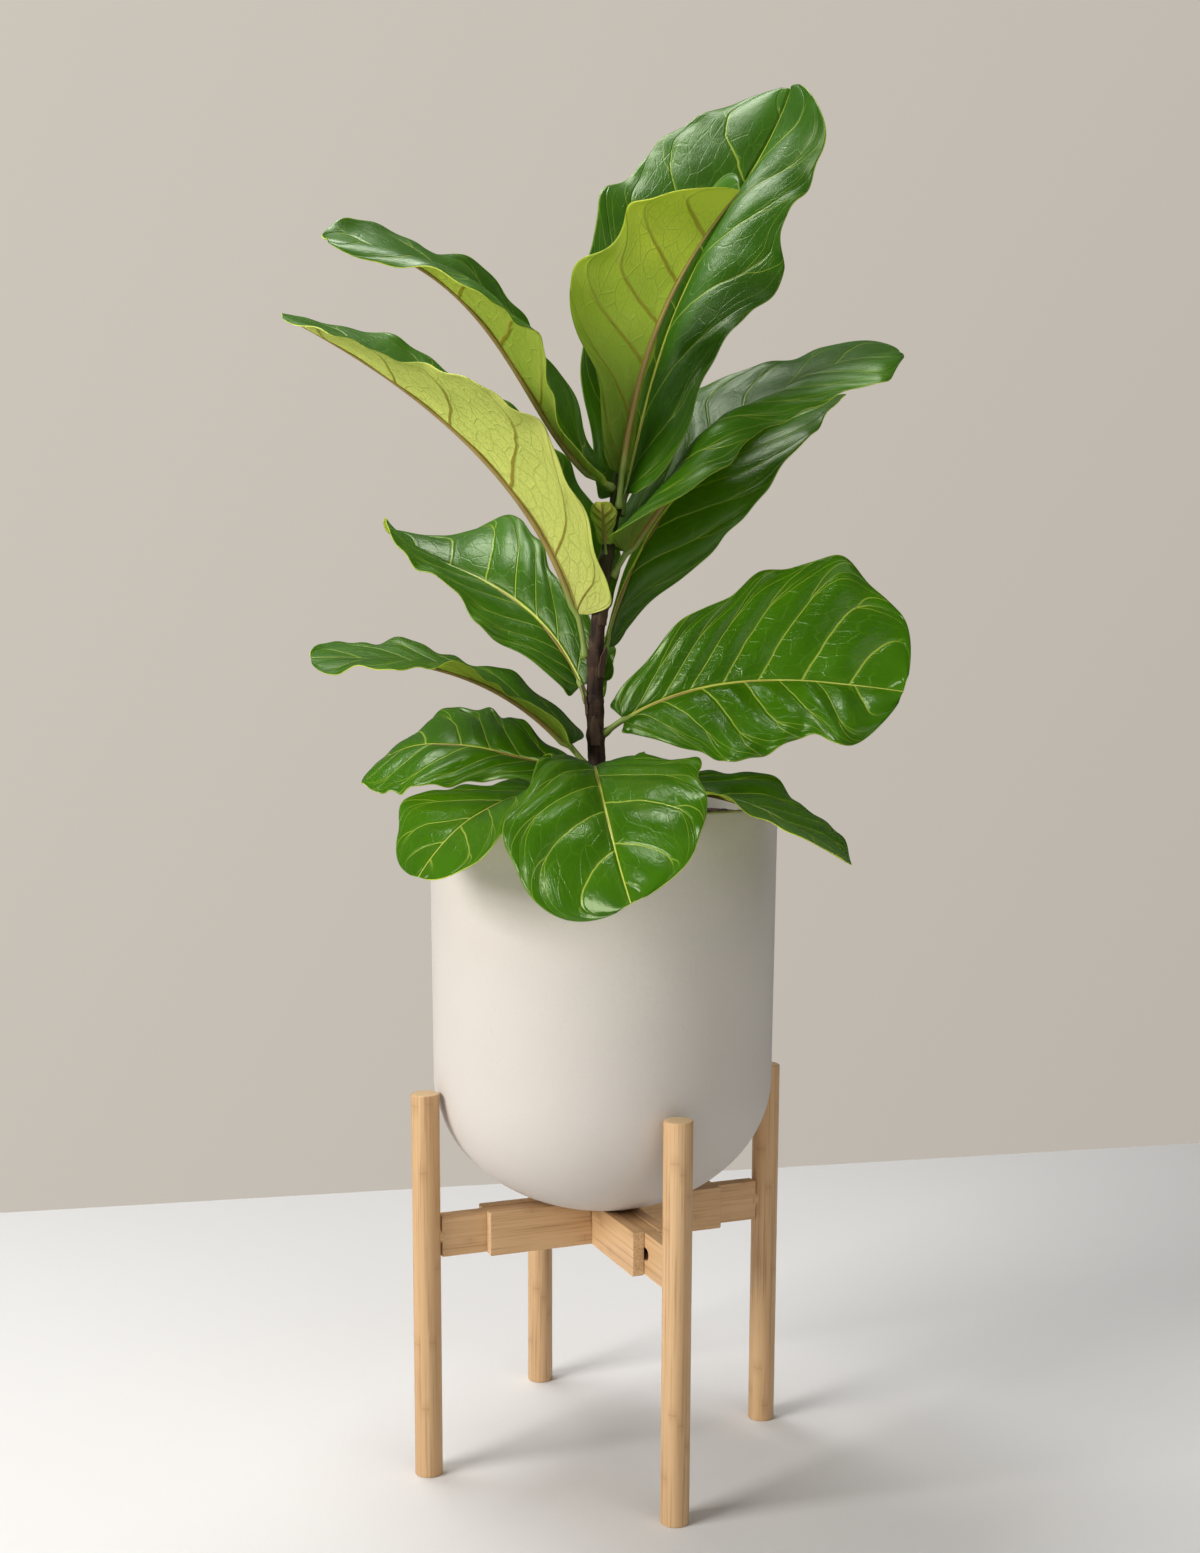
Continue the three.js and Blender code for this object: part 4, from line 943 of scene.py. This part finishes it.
# a round post: rings up it, with a quarter-round edge at both ends
def addLeg(name, material, body):
    low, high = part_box(name)
    radius = (high.x - low.x) / 2 / mm
    foot, top = low.z / mm, high.z / mm
    edge = bamboo["legEdge"]
    turn = np.linspace(0, np.pi / 2, 5)
    lower = np.stack([radius - edge + edge * np.sin(turn), foot + edge - edge * np.cos(turn)], 1)
    upper = np.stack([radius - edge + edge * np.cos(turn), top - edge + edge * np.sin(turn)], 1)
    profile = np.concatenate([[[0.4, foot]], lower, upper, [[0.4, top]]])
    centre = np.array([(low.x + high.x) / 2, (low.y + high.y) / 2, 0])
    piece = turned(name + "_post", profile, bamboo["legSides"], material, body=body, centre=centre)
    piece.data.set_sharp_from_angle(angle=math.radians(50))
    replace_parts(piece, name)


# a copy of a wooden bar from the frame, its doubles merged and its edges softened
def addBar(name, material, body):
    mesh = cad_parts[name].data.copy()
    mesh.name = name + "_bar"
    mesh.materials.clear()
    mesh.materials.append(material)
    piece = bpy.data.objects.new(name + "_bar", mesh)
    bpy.context.scene.collection.objects.link(piece)
    weld = piece.modifiers.new("weld", "WELD")
    weld.merge_threshold = 1e-5
    edge = piece.modifiers.new("soft edge", "BEVEL")
    edge.width = bamboo["softEdge"]
    edge.segments = 3
    edge.limit_method = "ANGLE"
    edge.angle_limit = math.radians(40)
    edge.harden_normals = False
    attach(piece, body)
    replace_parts(piece, name)


# plain bright metal
def steelMaterial():
    nodes = Nodes("zincPlatedSteel")
    nodes.surface(rgb(0.55, 0.55, 0.56), 0.34)
    nodes.shader.inputs["Metallic"].default_value = 1.0
    return nodes.owner


upright = bambooMaterial("bambooUpright", 2, 0)
bambooAlongX = bambooMaterial("bambooAlongX", 0, 2)
bambooAlongY = bambooMaterial("bambooAlongY", 1, 2)
steel = steelMaterial()
for place in ("left", "right", "front", "back"):
    alongBar = bambooAlongX if place in ("left", "right") else bambooAlongY
    addLeg("leg_" + place, upright, "leg_slide_" + place)
    addBar("arm_" + place, alongBar, "leg_slide_" + place)
    for metal in ("clamp_bolt_", "threaded_insert_"):
        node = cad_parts[metal + place]
        node.data.materials.clear()
        node.data.materials.append(steel)
for side in ("bolted", "threaded"):
    addBar("cheek_x_" + side, bambooAlongX, planterBody)
    addBar("cheek_y_" + side, bambooAlongY, planterBody)
print("stand made")


# camera: distance from the pot's middle, height, turns in degrees, and lens as on a 36 mm sensor
cameraPlace = dict(azimuth=22.0, distance=1.521, height=0.6861, pitch=7.896, yaw=-0.1, roll=0.196,
                   lens=40.745, shift=0.0966)
stage = dict(
    nearReach=7.0, farLeft=(-0.467, 0.935), farRight=(1.238, 0.652), spread=2.6,
    floorLow=rgb(0.77, 0.755, 0.745), floorHigh=rgb(0.80, 0.785, 0.775),
    wall=rgb(0.615, 0.565, 0.500), wallDim=rgb(0.495, 0.452, 0.398), roomLight=rgb(0.12, 0.12, 0.115),
)


# a pale matt floor with a fine grain
def floorMaterial():
    nodes = Nodes("paleFloor")
    grain = nodes.noise(900.0, 2.0)
    nodes.surface(nodes.mix(nodes.ramp(grain, 0.2, 0.8), stage["floorLow"], stage["floorHigh"]), 0.9)
    nodes.bump(grain, 0.0004, 0.4)
    return nodes.owner


# the floor ends in a straight edge behind the stand, against the plain backdrop
def addFloor():
    left, right = np.array(stage["farLeft"]), np.array(stage["farRight"])
    run = (right - left) / np.linalg.norm(right - left)
    towards = np.array([run[1], -run[0]])
    reach, near = stage["spread"] * 2, stage["nearReach"]
    corners = [left - run * reach, right + run * reach, right + run * reach + towards * near,
               left - run * reach + towards * near]
    points = np.array([[corner[0] + middle[0], corner[1] + middle[1], 0.0] for corner in corners])
    mesh = bpy.data.meshes.new("floor")
    mesh.from_pydata(points[::-1].tolist(), [], [(0, 1, 2, 3)])
    mesh.materials.append(floorMaterial())
    floor = bpy.data.objects.new("floor", mesh)
    bpy.context.scene.collection.objects.link(floor)


# the backdrop is a plain wall colour, a little lighter to one side, and the room's own light is dimmer than
# it looks
def addWorld():
    nodes = Nodes("studio", "worlds", "Background")
    towards = nodes.add("ShaderNodeVectorMath", operation="DOT_PRODUCT")
    nodes.feed(towards.inputs[0], nodes.add("ShaderNodeTexCoord").outputs["Generated"])
    towards.inputs[1].default_value = fromCamera(-0.88, 0.0, 0.48)
    spread = nodes.ramp(towards.outputs["Value"], -0.45, 0.45, soft=False)
    wall = nodes.mix(spread, stage["wallDim"], stage["wall"])
    seen = nodes.add("ShaderNodeLightPath").outputs["Is Camera Ray"]
    nodes.feed(nodes.shader.inputs["Color"], nodes.mix(seen, stage["roomLight"], wall))
    nodes.shader.inputs["Strength"].default_value = 1.0
    bpy.context.scene.world = nodes.owner


# an area light given from the pot's middle, aimed at a point on the plant
def addLight(name, place, aim, power, size, colour=(1, 1, 1)):
    data = bpy.data.lights.new(name, "AREA")
    data.energy, data.size, data.color = power, size, colour
    light = bpy.data.objects.new(name, data)
    light.location = Vector(place) + Vector(middle)
    direction = Vector(aim) - Vector(place)
    light.rotation_euler = direction.to_track_quat("-Z", "Y").to_euler()
    bpy.context.scene.collection.objects.link(light)


# the view's own axes, seen from the camera: right, away and up
def fromCamera(right, away, up):
    turn = math.radians(cameraPlace["azimuth"])
    return (right * math.cos(turn) + away * math.sin(turn), away * math.cos(turn) - right * math.sin(turn), up)


# the camera looks along its pitch and yaw and is rolled about that line; its shift lifts the picture
def addCamera():
    view = cameraPlace
    pitch, yaw, roll = (math.radians(view[key]) for key in ("pitch", "yaw", "roll"))
    flat = math.cos(pitch)
    forward = Vector(fromCamera(math.sin(yaw) * flat, math.cos(yaw) * flat, -math.sin(pitch)))
    level = Vector(fromCamera(math.cos(yaw), -math.sin(yaw), 0))
    above = level.cross(forward)
    right = level * math.cos(roll) + above * math.sin(roll)
    up = above * math.cos(roll) - level * math.sin(roll)
    data = bpy.data.cameras.new("camera")
    data.sensor_width, data.lens = 36.0, view["lens"]
    data.shift_y = view["shift"]
    camera = bpy.data.objects.new("camera", data)
    turn = Matrix((right, up, -forward)).transposed().to_4x4()
    place = Vector(fromCamera(0, -view["distance"], view["height"])) + Vector(middle)
    camera.matrix_world = Matrix.Translation(place) @ turn
    bpy.context.scene.collection.objects.link(camera)
    bpy.context.scene.camera = camera


addFloor()
addWorld()
addLight("key", fromCamera(-2.48, -1.59, 1.65), fromCamera(0, 0, 0.65), 93, 1.4, (1.0, 0.985, 0.96))
addLight("top", fromCamera(-0.6, 0.5, 3.1), fromCamera(0, 0, 0.7), 54, 1.2)
addLight("fill", fromCamera(1.5, -2.3, 1.9), fromCamera(0.45, 0, 0.2), 19, 2.2, (1.0, 0.99, 0.975))
addCamera()
bpy.context.scene.view_settings.view_transform = "Standard"
print("stage set")
